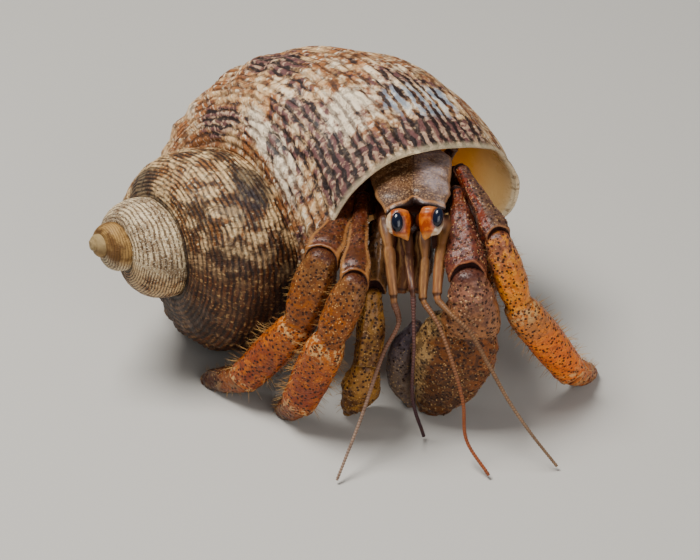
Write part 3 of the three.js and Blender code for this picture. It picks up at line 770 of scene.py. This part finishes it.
def leg_relief(segment, seed):
    """Low folds and keels that keep a leg plate from being a plain tube."""

    def relief(along, angle):
        rough = 0.5 if segment == "merus" else 1.0
        grain = grain_height(along, angle, seed, 9, 2.2, 0.09) * rough
        fine = grain_height(along, angle, seed, 26, 6, 0.05) * rough
        keel = 0.0
        if segment == "carpus":
            keel = 0.28 * hill(angle, 1.95, 0.22) * hill(along, 0.45, 0.4)
            keel -= 0.16 * hill(angle, 1.35, 0.3) * hill(along, 0.4, 0.4)
        if segment == "merus":
            keel = 0.22 * sum(hill(angle, edge, 0.2) for edge in MERUS_KEELS) * ease(along, 0.1, 0.4)
        rim = 0.07 * hill(along, 0.98, 0.016) if segment != "dactylus" else 0.0
        dip = -0.07 * hill(along, 0.95, 0.014) if segment in ("merus", "carpus") else 0.0
        return grain + fine + keel + rim + dip

    return relief


def bristles(name, limbs):
    """Stiff golden bristles. limbs holds (limb, count, longest, where) for each plate that has them."""
    mesh = bmesh.new()
    root_map = mesh.loops.layers.uv.new("OFBake")
    patch = 0.003                  # size of a bristle's patch on the map
    for row, (limb, count, longest, where) in enumerate(limbs):
        for _ in range(count):
            along, angle = where()
            root = limb.point(along, angle, 1.0, -0.03)
            out = limb.normal(along, angle)
            ahead = limb.axes(clamp(along))[1]
            lean = (out + ahead * chance.uniform(0.15, 0.8)
                    + Vector([chance.uniform(-0.25, 0.25) for _ in range(3)])).normalized()
            length = longest * chance.uniform(0.35, 1.0)
            radius = 0.015 + 0.01 * length
            cone = bmesh.ops.create_cone(mesh, cap_ends=True, segments=4, radius1=radius,
                                         radius2=radius * 0.25, depth=length)["verts"]
            turned = Vector((0, 0, 1)).rotation_difference(lean)
            for vert in cone:
                vert.co = root + turned @ (vert.co + Vector((0, 0, length / 2)))
            u = 0.02 + 0.96 * (angle % TURN) / TURN
            v = (row + 0.05 + 0.9 * clamp(along)) / len(limbs)
            for face in {face for vert in cone for face in vert.link_faces}:
                face.smooth = True
                for number, loop in enumerate(face.loops):
                    loop[root_map].uv = (u + patch * (number % 2), v + patch * (number // 2 % 2))
    for vert in mesh.verts:
        vert.co = placed(vert.co)
        vert.co.z = max(vert.co.z, 0.0)
    as_piece(mesh, name, bristle_finish)


def make_bristle_finish():
    f = Finish("golden_bristle", sheen=0.2)
    tone = f.noise(1.4, 1.0)
    colour = f.mix(f.step(tone, 0.35, 0.65), "8a5a20", "c89850")
    return f.done(colour, 0.45 + tone * 0.1, f.noise(0.2), 0.01)


bristle_finish = make_bristle_finish()


def around_margins(low, high, spread_angle=0.55):
    """Roots along the two sides of a plate, more towards its far end."""

    def where():
        side = chance.choice((0.0, math.pi))
        return chance.uniform(low, high), side + chance.gauss(-0.25 if side == 0 else 0.25, spread_angle)

    return where


BRISTLED = {"carpus": (60, 0.9), "propodus": (160, 1.5), "dactylus": (60, 0.9)}    # count and longest


def make_legs():
    for leg, (joints, sizes) in LEGS.items():
        hairy = []
        for number, segment in enumerate(PROFILES):
            wide, deep = sizes[number]
            rows = [[along, share * wide, depth * deep] for along, share, depth in PROFILES[segment]]
            limb = Limb([joints[number], joints[number + 1]], DORSAL[segment], rows, 2.4, LOBES[segment],
                        leg_relief(segment, number * 3.1 + len(leg) + joints[1][0]))
            fine = segment != "base"
            skin = limb_skin(limb, 56 if fine else 32, 48 if fine else 16, segment != "dactylus")
            if segment == "merus":
                for row in range(KEEL_GRAINS):
                    along = 0.3 + 0.66 * (row + chance.random() * 0.7) / KEEL_GRAINS
                    for angle in MERUS_KEELS:
                        skin.bead(limb.point(along, angle, 1.0, -0.02), chance.uniform(0.07, 0.11), 0.35)
            look = "left_" + segment if leg == "leg2_left" and "left_" + segment in plates else segment
            skin.finished(f"{leg}_{segment}_plate", plates[look], "leg", [f"{leg}_{segment}"])
            if segment in BRISTLED:
                count, longest = BRISTLED[segment]
                hairy.append((limb, count, longest, around_margins(0.1, 0.97)))
        bristles(f"{leg}_bristles", hairy)


# Claws and their arms: path, dorsal side, rows of half sizes, finish, lobes of the far margin.
ARMS = {
    "cheliped_left_base": (
        [(8.9, 9.4, 19), (10.9, 6.6, 21.9)], UPWARDS,
        [[0, 1.1, 1.1], [0.6, 1.3, 1.4], [1, 0.8, 1]], "base", (0.2, 0.1)),
    "cheliped_left_merus": (
        [(10.9, 6, 22.2), (11.65, -2.6, 18.4)], UPWARDS,
        [[0, 0.6, 1], [0.35, 1.3, 1.6], [0.85, 2.1, 1.85], [1, 1.85, 1.6]], "claw_merus", (0.6, 0.35)),
    "cheliped_left_carpus": (
        [(11.8, -2.9, 18), (12.2, -3.2, 15), (12.1, -2.6, 12.2)], FORWARDS,
        [[0, 1.75, 1.65], [0.3, 2.3, 2.2], [0.8, 2.95, 2.35], [1, 2.9, 2.2]], "claw_carpus", (0.3, 0.2)),
    "cheliped_left_palm": (
        [(12, -2.4, 12.4), (10.8, -2.2, 9.2), (10.2, -1.9, 6.3), (8.8, -0.9, 2.2),
         (7.6, -0.3, -0.1)], FORWARDS,
        [[0, 3.0, 2.0], [0.12, 3.9, 2.5], [0.3, 4.25, 2.7], [0.6, 3.4, 2.5], [0.82, 2.2, 1.8],
         [0.93, 1.4, 1.1], [1, 0.6, 0.5]], "claw_palm", (0, 0)),
    "cheliped_left_dactylus": (
        [(6.9, 1.2, 9.4), (5.4, 1, 6.6), (5.1, 0.9, 3.4), (6.3, 0.4, 0)], FORWARDS,
        [[0, 0.8, 0.9], [0.35, 1.35, 1.4], [0.7, 1.25, 1.2], [1, 0.45, 0.4]], "claw_finger", (0, 0)),
    "cheliped_right_base": (
        [(3.2, 8.6, 15.6), (2.7, 6.3, 17.9)], UPWARDS,
        [[0, 1, 1], [0.6, 1.2, 1.3], [1, 0.9, 1]], "base", (0.2, 0.1)),
    "cheliped_right_merus": (
        [(3.1, 6.2, 18.5), (2.4, 0.2, 14.8)], UPWARDS,
        [[0, 0.8, 1], [0.8, 1.3, 1.5], [1, 1.2, 1.3]], "small_merus", (0.4, 0.3)),
    "cheliped_right_carpus": (
        [(2.3, -0.2, 14.3), (2.1, -1.4, 10.6), (1.7, -2.3, 7.2)], FORWARDS,
        [[0, 0.9, 0.9], [0.5, 1.45, 1.4], [1, 1.35, 1.3]], "small_claw", (0.3, 0.2)),
    "cheliped_right_palm": (
        [(1.5, -2.3, 6.9), (0.9, -2, 4), (-0.3, -1, -0.1)], FORWARDS,
        [[0, 1.2, 1.2], [0.35, 1.85, 1.5], [0.7, 1.25, 1.1], [1, 0.4, 0.4]], "small_claw", (0, 0)),
    "cheliped_right_dactylus": (
        [(2.4, -0.6, 4.8), (2.2, -0.4, 2.4), (0.9, -0.4, 0.1)], FORWARDS,
        [[0, 0.6, 0.7], [0.5, 0.85, 0.8], [1, 0.35, 0.35]], "small_claw", (0, 0)),
}


def arm_relief(name):
    seed = len(name) * 1.7

    def relief(along, angle):
        grain = grain_height(along, angle, seed, 10, 2.6, 0.12)
        fine = grain_height(along, angle, seed, 30, 8, 0.07)
        keel = 0.0
        if name == "cheliped_left_palm":
            keel = 0.25 * hill(angle, 0.2, 0.3) * hill(along, 0.4, 0.35)
            keel -= 0.25 * hill(angle, 1.2, 0.5) * hill(along, 0.15, 0.15)
        if name.endswith("merus"):
            keel = 0.3 * hill(angle, 1.9, 0.25) * ease(along, 0.05, 0.4)
        if name == "cheliped_right_carpus":
            keel = 0.25 * hill(angle, 1.0, 0.2)
        rim = 0.07 * hill(along, 0.98, 0.016) if name.endswith(("merus", "carpus")) else 0.0
        return grain + fine + keel + rim

    return relief


def grains(skin, limb, count, span, draw, lift, sizes, marks, segments=6):
    """Round grains scattered over a plate. draw is the way the angle is drawn, with its two numbers."""
    for _ in range(count):
        along, angle = chance.uniform(*span), draw[0](*draw[1:])
        place = limb.point(along, angle, 1.0, lift)
        skin.bead(place, chance.uniform(*sizes), chance.uniform(*marks), segments)


def make_arms():
    limbs = {}
    for name, (path, dorsal, rows, look, lobes) in ARMS.items():
        big = name == "cheliped_left_palm"
        limb = Limb(path, dorsal, rows, 2.3, lobes, arm_relief(name))
        limbs[name] = limb
        tip = name.endswith(("palm", "dactylus"))
        skin = limb_skin(limb, 96 if big else 56, 72 if big else 44, not tip)
        if name == "cheliped_left_carpus":
            draw = (chance.gauss, 1.25, 0.45)
            grains(skin, limb, 46, (0.1, 0.75), draw, -0.05, (0.08, 0.22), (0.2, 0.8), 8)
        if name == "cheliped_left_merus":
            draw = (chance.gauss, 1.8, 0.35)
            grains(skin, limb, 70, (0.15, 0.95), draw, -0.03, (0.06, 0.13), (0.1, 0.6))
        if big:
            draw = (chance.uniform, 0.2, 2.9)
            grains(skin, limb, 150, (0.05, 0.9), draw, 0.0, (0.05, 0.12), (0.0, 0.5))
        skin.finished(name + "_plate", plates[look], "claw", [name])
    big_claw = [(limbs["cheliped_left_palm"], 120, 0.5, around_margins(0.1, 0.95)),
                (limbs["cheliped_left_merus"], 50, 0.5, around_margins(0.2, 0.95))]
    bristles("cheliped_left_bristles", big_claw)
    small_claw = [(limbs["cheliped_right_palm"], 90, 0.9, around_margins(0.05, 0.9)),
                  (limbs["cheliped_right_carpus"], 60, 0.7, around_margins(0.2, 0.95))]
    bristles("cheliped_right_bristles", small_claw)


# ---------------------------------------------------------------- shield, eyes and feelers

EYE_FORWARD = Vector((0, -0.83, 0.56)).normalized()
EYE_RIGHT = Vector((1, 0, 0))
EYE_UP = EYE_RIGHT.cross(EYE_FORWARD) * -1
# For each eye: middle, rows of [height, edge at the viewer's left, edge at the right, half depth], cornea.
EYES = {
    "right": {
        "middle": (4.83, -0.1, 22.91),
        "rows": [[-1.85, 0.85, 0.97, 0.2], [-1.6, 0.4, 1.04, 0.5], [-1.3, -0.5, 1.1, 0.85],
                 [-0.95, -0.98, 1.16, 1.1], [-0.45, -1.22, 1.22, 1.25], [0.1, -1.27, 1.25, 1.3],
                 [0.6, -1.16, 1.2, 1.25], [1.1, -0.8, 1.0, 1.0], [1.4, -0.35, 0.5, 0.5]],
        "cornea": (-0.12, 0.0), "halves": (0.66, 1.04), "tilt": 0.0,
    },
    "left": {
        "middle": (8.0, -0.05, 23.06),
        "rows": [[-1.95, -0.62, -0.48, 0.2], [-1.6, -0.8, -0.05, 0.5], [-1.3, -0.9, 0.9, 0.85],
                 [-0.95, -1.02, 1.12, 1.1], [-0.45, -1.12, 1.3, 1.25], [0.1, -1.16, 1.36, 1.3],
                 [0.65, -1.1, 1.32, 1.2], [1.15, -0.92, 1.1, 1.0], [1.5, -0.6, 0.3, 0.5]],
        "cornea": (0.7, 0.3), "halves": (0.6, 1.0), "tilt": -0.18,
    },
}
STALK_ROOT = {"right": (5.9, 3.2, 21), "left": (7.1, 3.2, 21)}
EYE_SIDES, STEM_SIDES, SHIELD_SIDES = 48, 24, 96


def eyestalk_finish(side, eye):
    f = Finish(f"eyestalk_{side}_tint", coat=0.25, under=0.05)
    across, height = [share * 4 - 2 for share in f.spread("eye_plane")]
    inner = across - eye["cornea"][0]
    up = height - eye["cornea"][1]
    if side == "left":
        inner = inner * -1.0
    cloud = f.noise(0.5, 3.0)
    orange = f.mix(f.step(cloud, 0.4, 0.62), "8a3200", "b65a00")
    orange = f.mix(f.step(height, -0.9, -1.6) * 0.8, orange, "c07c34")
    low_white = -0.2 if side == "left" else -0.5
    white_side = f.step(inner + up * (0.55 if side == "left" else 0.1), low_white, low_white - 0.2)
    white = f.mix(f.step(cloud, 0.35, 0.65), "d8c2a8", "b8946c")
    colour = f.mix(white_side, orange, white)
    arch = f.step(height + inner * 0.25, 1.08, 1.28)
    colour = f.mix(arch * 0.5, colour, "a8683a")
    apart = ((inner / eye["halves"][0]) ** 2.0 + (up / eye["halves"][1]) ** 2.0) ** 0.5
    colour = f.mix(f.step(apart, 1.22, 1.0) * 0.7, colour, "2c0e04")
    behind = f.mark()
    colour = f.mix(behind, colour, "5a2410")
    return f.done(colour, 0.3 + cloud * 0.12, cloud, 0.03)


def cornea_finish():
    f = Finish("black_cornea", coat=0.4)
    facets = f.cells(0.05)
    # painted reflection: the upper part of the black cornea tinted blue, as the sky seen in it
    painted_sky_reflection = f.step(f.part(f.mm, "Z") + (f.noise(0.7, 2.0) - 0.5) * 1.2, 22.4, 23.8)
    colour = f.mix(painted_sky_reflection * 0.42, "010104", "101c38")
    return f.done(colour, 0.12 + facets * 0.05, facets, 0.002)


def make_eyes():
    black = cornea_finish()
    for side, eye in EYES.items():
        middle = Vector(eye["middle"])
        rows = eye["rows"]
        skin = Skin()
        low, high = rows[0][0], rows[-1][0]
        heights = [low + (high - low) * i / 36 for i in range(37)]

        def place(height, corner, rows=rows, middle=middle):
            left, right, depth = read_rows(rows, height)
            angle = corner / EYE_SIDES * TURN
            across = (left + right) / 2 + (right - left) / 2 * math.cos(angle)
            forth = depth * math.sin(angle) * (0.62 if math.sin(angle) > 0 else 1.1)
            return middle + EYE_RIGHT * across + EYE_UP * height + EYE_FORWARD * forth

        skin.sweep(EYE_SIDES, heights, place)
        path = [middle - EYE_FORWARD * 0.3, STALK_ROOT[side]]
        stem = Limb(path, EYE_UP, [[0, 0.8, 0.9], [1, 0.7, 0.8]])
        before = set(skin.mesh.verts)

        def stem_place(along, corner, stem=stem):
            return stem.point(along, corner / STEM_SIDES * TURN)

        skin.sweep(STEM_SIDES, [i / 8 for i in range(9)], stem_place)
        for vert in skin.mesh.verts:
            if vert not in before:
                vert[skin.mark] = 1.0
        flat = skin.mesh.loops.layers.uv.new("eye_plane")
        for face in skin.mesh.faces:
            for loop in face.loops:
                away = loop.vert.co - middle
                loop[flat].uv = ((away.dot(EYE_RIGHT) + 2) / 4, (away.dot(EYE_UP) + 2) / 4)
        skin.finished(f"eyestalk_{side}_skin", eyestalk_finish(side, eye), "eyestalk", [f"eyestalk_{side}"])
        ball = bmesh.new()
        made = bmesh.ops.create_uvsphere(ball, u_segments=40, v_segments=24, radius=1)["verts"]
        across, up = eye["cornea"]
        half_width, half_height = eye["halves"]
        centre = middle + EYE_RIGHT * across + EYE_UP * up + EYE_FORWARD * 0.42
        tilt = Quaternion(EYE_FORWARD, eye["tilt"])
        for vert in made:
            x, y, z = vert.co
            away = EYE_RIGHT * x * half_width + EYE_UP * z * half_height + EYE_FORWARD * y * 0.62
            vert.co = placed(centre + tilt @ away)
        for face in ball.faces:
            face.smooth = True
        bmesh.ops.recalc_face_normals(ball, faces=ball.faces)
        as_piece(ball, f"cornea_{side}_dome", black, [f"cornea_{side}"])


def shield_finish():
    f = Finish("shield_horn", coat=0.22, under=0.04)
    around, along = f.spread()
    x = f.part(f.mm, "X") - placed((6.5, 0, 0)).x * 1000
    cloud = f.noise(2.4, 3.0)
    grain = f.noise(0.22, 3.0)
    fine_flecks = f.noise(0.12, 2.0)
    left = f.mix(f.step(cloud, 0.4, 0.65), "40240f", "5c381a")
    right = f.mix(f.step(cloud, 0.38, 0.62), "544038", "877878")
    colour = f.mix(f.step(x + (cloud - 0.5) * 2.4, -0.4, 1.6), left, right)
    middle = f.step((x + 0.1).unsigned(), 0.12, 0.04)
    colour = f.mix(middle * 0.8, colour, "2c140c")
    colour = f.mix(f.step(grain, 0.54, 0.64) * 0.42, colour, "c09a70")
    colour = f.mix(f.step(grain, 0.44, 0.34) * 0.5, colour, "32180e")
    # pale fine flecks over the shield
    colour = f.mix(f.step(fine_flecks, 0.56, 0.64) * 0.42, colour, "a88058")
    colour = f.mix(f.step(along, 0.035, 0.02) * 0.95, colour, "220c06")
    # painted highlight: an ochre band along the raised ridge behind the front margin
    colour = f.mix(f.step(along, 0.075, 0.055) * f.step(along, 0.035, 0.045) * 0.55, colour, "b07844")
    rim = f.step((around * TURN).cosine().unsigned(), 0.88, 0.95) * f.step(along, 0.0, 0.12)
    colour = f.mix(rim * 0.5, colour, "ac7a4c")
    return f.done(colour, 0.44 + (cloud - 0.5) * 0.2 + grain * 0.15, grain + cloud * 0.4 + fine_flecks * 0.8, 0.055)


def make_shield():
    rows = [[0, 2.95, 0.7], [0.06, 3.1, 0.8], [0.25, 3.8, 1.0], [0.8, 4.4, 1.0], [1, 3.4, 0.6]]

    def relief(along, angle):
        across = math.cos(angle)
        top = max(math.sin(angle), 0)
        groove = -0.16 * hill(across, -0.02, 0.035) * top
        edge = 0.14 * hill(abs(across), 0.9, 0.06) * top
        cross = -0.18 * hill(along, 0.62 - 0.18 * abs(across), 0.03) * top * ease(abs(across), 0.05, 0.4)
        swell = 0.16 * hill(abs(across), 0.45, 0.25) * top * hill(along, 0.35, 0.25)
        rough = 0.05 * noise.noise(Vector((along * 16, across * 7, 1)))
        return groove + edge + cross + swell + rough + 0.1 * hill(along, 0.06, 0.03) * top

    limb = Limb([(6.5, 2.3, 22.9), (5.8, 11.4, 24.2)], (0, 0, 1), rows, 2.2, (0, 0), relief)
    steps = [0, 0.01, 0.02, 0.035] + [0.05 + 0.95 * i / 52 for i in range(53)]
    skin = Skin()

    def place(along, corner):
        point = limb.point(along, corner / SHIELD_SIDES * TURN)
        across = clamp((point.x - 6.4) / 2.9, -1.0, 1.0)
        corner_drop = (0.3 if across > 0 else 0.65) * across**4
        notch = (0.9 * hill(point.x, 6.4, 0.62) - 0.24 - corner_drop) * (1 - ease(along, 0.0, 0.3))
        peak = 0.12 * hill(point.x, 6.4, 0.2) * (1 - ease(along, 0.0, 0.1))
        under = 2.4 * clamp(0.15 - math.sin(corner / SHIELD_SIDES * TURN), 0, 1) * (1 - ease(along, 0.0, 0.3))
        point += limb.axes(along)[1] * (notch + peak + under)
        return point

    skin.sweep(SHIELD_SIDES, steps, place)
    skin.finished("shield_plate", shield_finish(), "shield", ["shield"])


def feeler_finish(name, near, far, ring_count):
    f = Finish(name, coat=0.08, under=0.05)
    around, along = f.spread()
    cloud = f.noise(1.1, 2.0)
    fibre = f.noise(1.0, 3.0, f.vector(around * 9.0, along * 3.0, 1.0))
    rings = (along * (ring_count * TURN)).sine() * 0.5 + 0.5
    colour = f.mix(f.step(along + (cloud - 0.5) * 0.4, 0.15, 0.85), near, far)
    if ring_count < 9:
        # painted shade: the base of each stem, where it goes in under the shield and eyes, darkened to dark
        # brown
        colour = f.mix(f.step(along, 0.3, 0.0), colour, "40200f")
        colour = f.mix(f.step(fibre, 0.5, 0.64) * 0.65, colour, "4a2a14")
        colour = f.mix(f.step(fibre, 0.46, 0.36) * 0.4, colour, "b88a50")
        joint = f.step((along - 0.93).unsigned(), 0.035, 0.01)
        colour = f.mix(joint * 0.8, colour, "32160a")
    else:
        colour = f.mix(f.step(cloud, 0.5, 0.7) * 0.4, colour, "4c2a18")
        colour = f.mix(rings * 0.3, colour, "2c160e")
    return f.done(colour, 0.48 + cloud * 0.15, rings + cloud * 0.3 + fibre * 0.6, 0.03)


WHIP_SIDES = 10
RING_LENGTH = 0.3
FEELERS = {
    "antenna_right": {
        "stem": [(3.5, 2.6, 21.4), (3.8, 0.4, 20.2), (4.35, -2.3, 15.6)], "stem_size": (0.72, 0.48),
        "whip": [(4.4, -2.6, 15), (4.9, -3, 12.8), (3.4, -5, 10.6), (1.1, -9, 5.3), (-1.3, -12.9, 0.5)],
        "whip_size": (0.36, 0.15), "tints": ("744a26", "865a36", "7c5440", "8a7260"),
    },
    "antenna_left": {
        "stem": [(9.7, 2.6, 21.4), (9.2, 0.2, 20.3), (8.7, -3.6, 16.4)], "stem_size": (0.72, 0.5),
        "whip": [(8.8, -4, 16.1), (10.2, -6.2, 15.8), (11.8, -7.1, 14.6), (13.8, -7.8, 11), (15.9, -8.8, 7.2),
                 (18, -9.8, 4.2), (20.8, -10.6, 0.5)],
        "whip_size": (0.36, 0.15), "tints": ("7e5026", "855430", "7a5434", "84684e"),
    },
    "antennule_right": {
        "stem": [(5.6, 2, 20.4), (5.9, -0.6, 18.4), (6.2, -3.2, 16.8)], "stem_size": (0.55, 0.36),
        "whip": [(6.3, -3.5, 16.3), (6.4, -5.5, 11.6), (6.3, -6.6, 6), (7.5, -5.5, 0.5)],
        "whip_size": (0.28, 0.17), "tints": ("583422", "4a281c", "5c3a34", "30101a"),
    },
    "antennule_left": {
        "stem": [(7.4, 1.6, 20.4), (7.5, -0.6, 18.6), (7.3, -3.2, 15.7)], "stem_size": (0.6, 0.45),
        "whip": [(7.5, -3.6, 15.4), (8.7, -5.4, 14.4), (10, -7.2, 11.6), (11.3, -8.6, 7), (11.7, -9.6, 3),
                 (13.9, -12.1, 0.5)],
        "whip_size": (0.32, 0.17), "tints": ("744a26", "7c522c", "7c5436", "8c4418"),
    },
}


def stem_relief(along, angle):
    """The two joints of a feeler's stem, and a slight wave."""
    wave = 0.05 * math.cos(along * 9 + 2 * angle)
    return wave - 0.07 * hill(along, 0.35, 0.015) - 0.05 * hill(along, 0.93, 0.01)


def make_feelers():
    for name, look in FEELERS.items():
        near, far, whip_near, whip_far = look["tints"]
        first, last = look["stem_size"]
        tip = look["whip_size"][0]
        rows = [[0, first * 0.9, first * 0.9], [0.1, first * 1.1, first], [0.33, first * 0.78, first * 0.8],
                [0.42, first * 0.92, first * 0.85], [0.6, last * 1.05, last * 1.1],
                [0.84, last * 0.9, last * 0.95], [0.9, last * 0.98, last], [0.95, last * 0.8, last * 0.8],
                [1, tip, tip]]
        stem = Limb([*look["stem"], look["whip"][0]], FORWARDS, rows, 2.2, (0, 0), stem_relief)
        skin = limb_skin(stem, 28, 64, False)
        tint = feeler_finish(f"{name}_stem_tint", near, far, 3)
        skin.finished(f"{name}_peduncle_plate", tint, "feeler", [f"{name}_peduncle"])
        first, last = look["whip_size"]
        rows = [[0, first, first], [0.16, first * 0.62, first * 0.62], [1, last, last]]
        whip = Limb(look["whip"], (0.3, -0.8, 0.5), rows, 2.0)
        count = int(whip.line.length / RING_LENGTH)
        skin = Skin()
        steps = [-0.004] + [i / (count * 3) for i in range(count * 3 + 1)] + [1.004]

        def place(along, corner, whip=whip, count=count):
            reach = 0.3 if along < 0 or along > 1 else 1.0
            phase = round(clamp(along) * count * 3) % 3
            return whip.point(along, corner / WHIP_SIDES * TURN, reach, (0.02, 0.02, -0.03)[phase] * reach)

        skin.sweep(WHIP_SIDES, steps, place)
        tint = feeler_finish(f"{name}_whip_tint", whip_near, whip_far, count)
        skin.finished(f"{name}_flagellum_rings", tint, "feeler", [f"{name}_flagellum"])
    for side, x, tip_x in (("right", 5.5, 5.1), ("left", 7.3, 6.7)):
        rows = [[0, 0.9, 0.8], [0.3, 0.95, 0.75], [0.5, 0.78, 0.65], [0.56, 0.88, 0.7], [1, 0.6, 0.5]]
        limb = Limb([(x, 2.4, 19.6), (x, 0.5, 18), (tip_x, -0.6, 14.9)], FORWARDS, rows, 2.2)
        skin = limb_skin(limb, 32, 32, False)
        tint = feeler_finish(f"maxilliped_{side}_tint", "4a240e", "6c3e1c", 2)
        skin.finished(f"maxilliped_{side}_plate", tint, "body", [f"maxilliped_{side}"])
        bristles(f"maxilliped_{side}_fringe", [(limb, 60, 0.8, around_margins(0.3, 1.0, 0.3))])


# ---------------------------------------------------------------- soft body and the hidden hind legs


COIL_FROM, COIL_LONG, COIL_STEPS = 75, 105, 8      # degrees back from the lip where the abdomen lies
BODY_SIDES, BODY_RINGS = 64, 140


def flesh_finish():
    f = Finish("soft_body", coat=0.25, under=0.15)
    along = f.spread()[1]
    cloud = f.noise(1.8, 3.0)
    folds = (along * 160 + cloud * 3).sine() * 0.5 + 0.5
    colour = f.mix(f.step(along, 0.12, 0.4), "643018", "a0705a")
    colour = f.mix(f.step(cloud, 0.45, 0.65) * 0.5, colour, "6e3a28")
    colour = f.mix(folds * 0.2 * f.step(along, 0.3, 0.5), colour, "5a2c20")
    return f.done(colour, 0.42 + cloud * 0.15, folds * 0.5 + cloud, 0.15)


def make_soft_body():
    """One skin from the chest, through the narrow waist, to the coiled abdomen in the shell."""
    chest = [(6.4, 2.7, 19.0), (6.0, 7.9, 19.0), (5.4, 12.6, 19.0)]
    coil_turns = [(-COIL_FROM - COIL_LONG * i / COIL_STEPS) / 360 for i in range(COIL_STEPS + 1)]
    coil = [shell_point(turn, 0, 0) + SHELL_AXIS * 1.2 for turn in coil_turns]
    line = Line([*chest, *coil])
    shares = [line.marks[Line.SAMPLES * i] / line.length for i in range(len(chest) + len(coil))]
    rows = [[0, 2.7, 2.3], [0.3 * shares[2], 3.5, 3.0], [0.8 * shares[2], 3.7, 2.9], [shares[2], 2.6, 2.5]]
    for i, (turn, share) in enumerate(zip(coil_turns, shares[len(chest):])):
        size = LIP_SIZE * WHORL_GROWTH**turn
        portion = 0.36 + (0.14 - 0.36) * (i / COIL_STEPS) ** 2
        rows.append([share, size * TUBE_ACROSS * portion, size * TUBE_ALONG * portion])
    skin = Skin()
    axes = {}
    last_side = Vector((-1, 0, 0))
    steps = [i / BODY_RINGS for i in range(BODY_RINGS + 1)]
    for along in steps:
        point, ahead = line.at(along)
        side = (last_side - ahead * last_side.dot(ahead)).normalized()
        axes[along] = point, side, side.cross(ahead)
        last_side = side

    def place(along, corner):
        point, side, back = axes[along]
        half_width, half_depth = read_rows(rows, along)
        angle = corner / BODY_SIDES * TURN
        c, s = math.cos(angle), math.sin(angle)
        square = 2.8 if along < shares[2] else 2.0
        outward = (abs(c) ** square + abs(s) ** square) ** (-1 / square)
        fold = 1 + 0.03 * math.sin(along * 160) * ease(along, shares[2], shares[3])
        end = math.sqrt(clamp(along / 0.04)) * math.sqrt(clamp((1 - along) / 0.05)) + 0.05
        wide = outward * fold * min(end, 1.0)
        return point + side * c * wide * half_width + back * s * wide * half_depth

    skin.sweep(BODY_SIDES, steps, place)
    skin.finished("soft_body_skin", flesh_finish(), "body", ["thorax", "abdomen"])


def make_mouthparts():
    """The bundle of feeding limbs under the eyes, grooved lengthways."""

    def relief(along, angle):
        across = math.cos(angle)
        split = hill(across, 0.02, 0.07) + 0.7 * (hill(across, 0.5, 0.06) + hill(across, -0.5, 0.06))
        return -0.32 * split + 0.06 * noise.noise(Vector((along * 12, across * 4, 2)))

    rows = [[0, 2.1, 1.3], [0.5, 2.1, 1.4], [1, 1.3, 0.9]]
    limb = Limb([(6.5, 4.6, 17.4), (6.3, 3.4, 12.6)], FORWARDS, rows, 2.4, (0, 0), relief)
    limb_skin(limb, 80, 30, False).finished("mouthparts_plate", plates["mouth"], "body", ["mouthparts"])
    bristles("mouthparts_fringe", [(limb, 110, 0.7, around_margins(0.5, 1.0, 1.6))])


def make_hind_legs():
    hind = {"leg4": ([(3, 11.9, 18.6), (4.4, 14.4, 21.2), (5.2, 13.2, 23.4)], (0.75, 0.45)),
            "leg5": ([(2.2, 13.4, 17.8), (3.6, 16.4, 19.4), (3.4, 17, 21.8)], (0.55, 0.35))}
    middle_x = 5.5
    for leg, (path, (first, last)) in hind.items():
        for side, sign in (("right", -1), ("left", 1)):
            points = [(middle_x + sign * out, y, z) for out, y, z in path]
            rows = [[0, first * 0.9, first * 0.9], [0.25, first, first], [0.48, last * 1.1, last * 1.1],
                    [0.55, last * 1.4, last * 1.4], [1, last, last]]
            limb = Limb(points, (0.3, 1, 0.3), rows, 2.2, (0, 0), leg_relief("base", first * 10))
            skin = limb_skin(limb, 28, 30, False)
            skin.finished(f"{leg}_{side}_plate", plates["base"], "leg", [f"{leg}_{side}"])


make_shell(shell_finish())
make_legs()
make_arms()
make_shield()
make_eyes()
make_feelers()
make_soft_body()
make_mouthparts()
make_hind_legs()

# ---------------------------------------------------------------- camera, light and floor

CAMERA_FALL = math.radians(34)
CAMERA_SPOT = (0, -292.0536, 212.9147)


def make_camera():
    data = bpy.data.cameras.new("view")
    data.lens = 180
    data.sensor_width = 36
    data.clip_start = 0.01
    data.clip_end = 10
    camera = bpy.data.objects.new("view", data)
    camera.location = placed(CAMERA_SPOT)
    camera.rotation_euler = (math.pi / 2 - CAMERA_FALL, 0, 0)
    bpy.context.scene.collection.objects.link(camera)
    bpy.context.scene.camera = camera


def make_lamp(name, spot, aim, size, power, tint):
    data = bpy.data.lights.new(name, "AREA")
    data.size = size
    data.energy = power
    data.color = tint
    lamp = bpy.data.objects.new(name, data)
    lamp.location = spot
    lamp.rotation_euler = (Vector(aim) - Vector(spot)).to_track_quat("-Z", "Y").to_euler()
    bpy.context.scene.collection.objects.link(lamp)


def make_studio():
    world = bpy.data.worlds.new("soft_studio")
    world.use_nodes = True
    world.node_tree.nodes["Background"].inputs["Color"].default_value = (0.93, 0.96, 1.0, 1)
    world.node_tree.nodes["Background"].inputs["Strength"].default_value = 0.2
    bpy.context.scene.world = world
    make_lamp("key", (-0.1, 0.0, 0.28), (0, 0, 0.01), 0.12, 1.36, (1, 0.98, 0.94))
    make_lamp("fill", (0.12, -0.24, 0.12), (0, 0, 0.01), 0.2, 0.42, (1, 0.98, 0.96))
    floor_mesh = bmesh.new()
    bmesh.ops.create_grid(floor_mesh, x_segments=1, y_segments=1, size=3)
    data = bpy.data.meshes.new("floor")
    floor_mesh.to_mesh(data)
    floor_mesh.free()
    floor = bpy.data.objects.new("floor", data)
    bpy.context.scene.collection.objects.link(floor)
    material = bpy.data.materials.new("pale_floor")
    material.use_nodes = True
    shader = material.node_tree.nodes["Principled BSDF"]
    shader.inputs["Base Color"].default_value = rgb("b9b6b0")
    shader.inputs["Roughness"].default_value = 0.8
    data.materials.append(material)


make_camera()
make_studio()
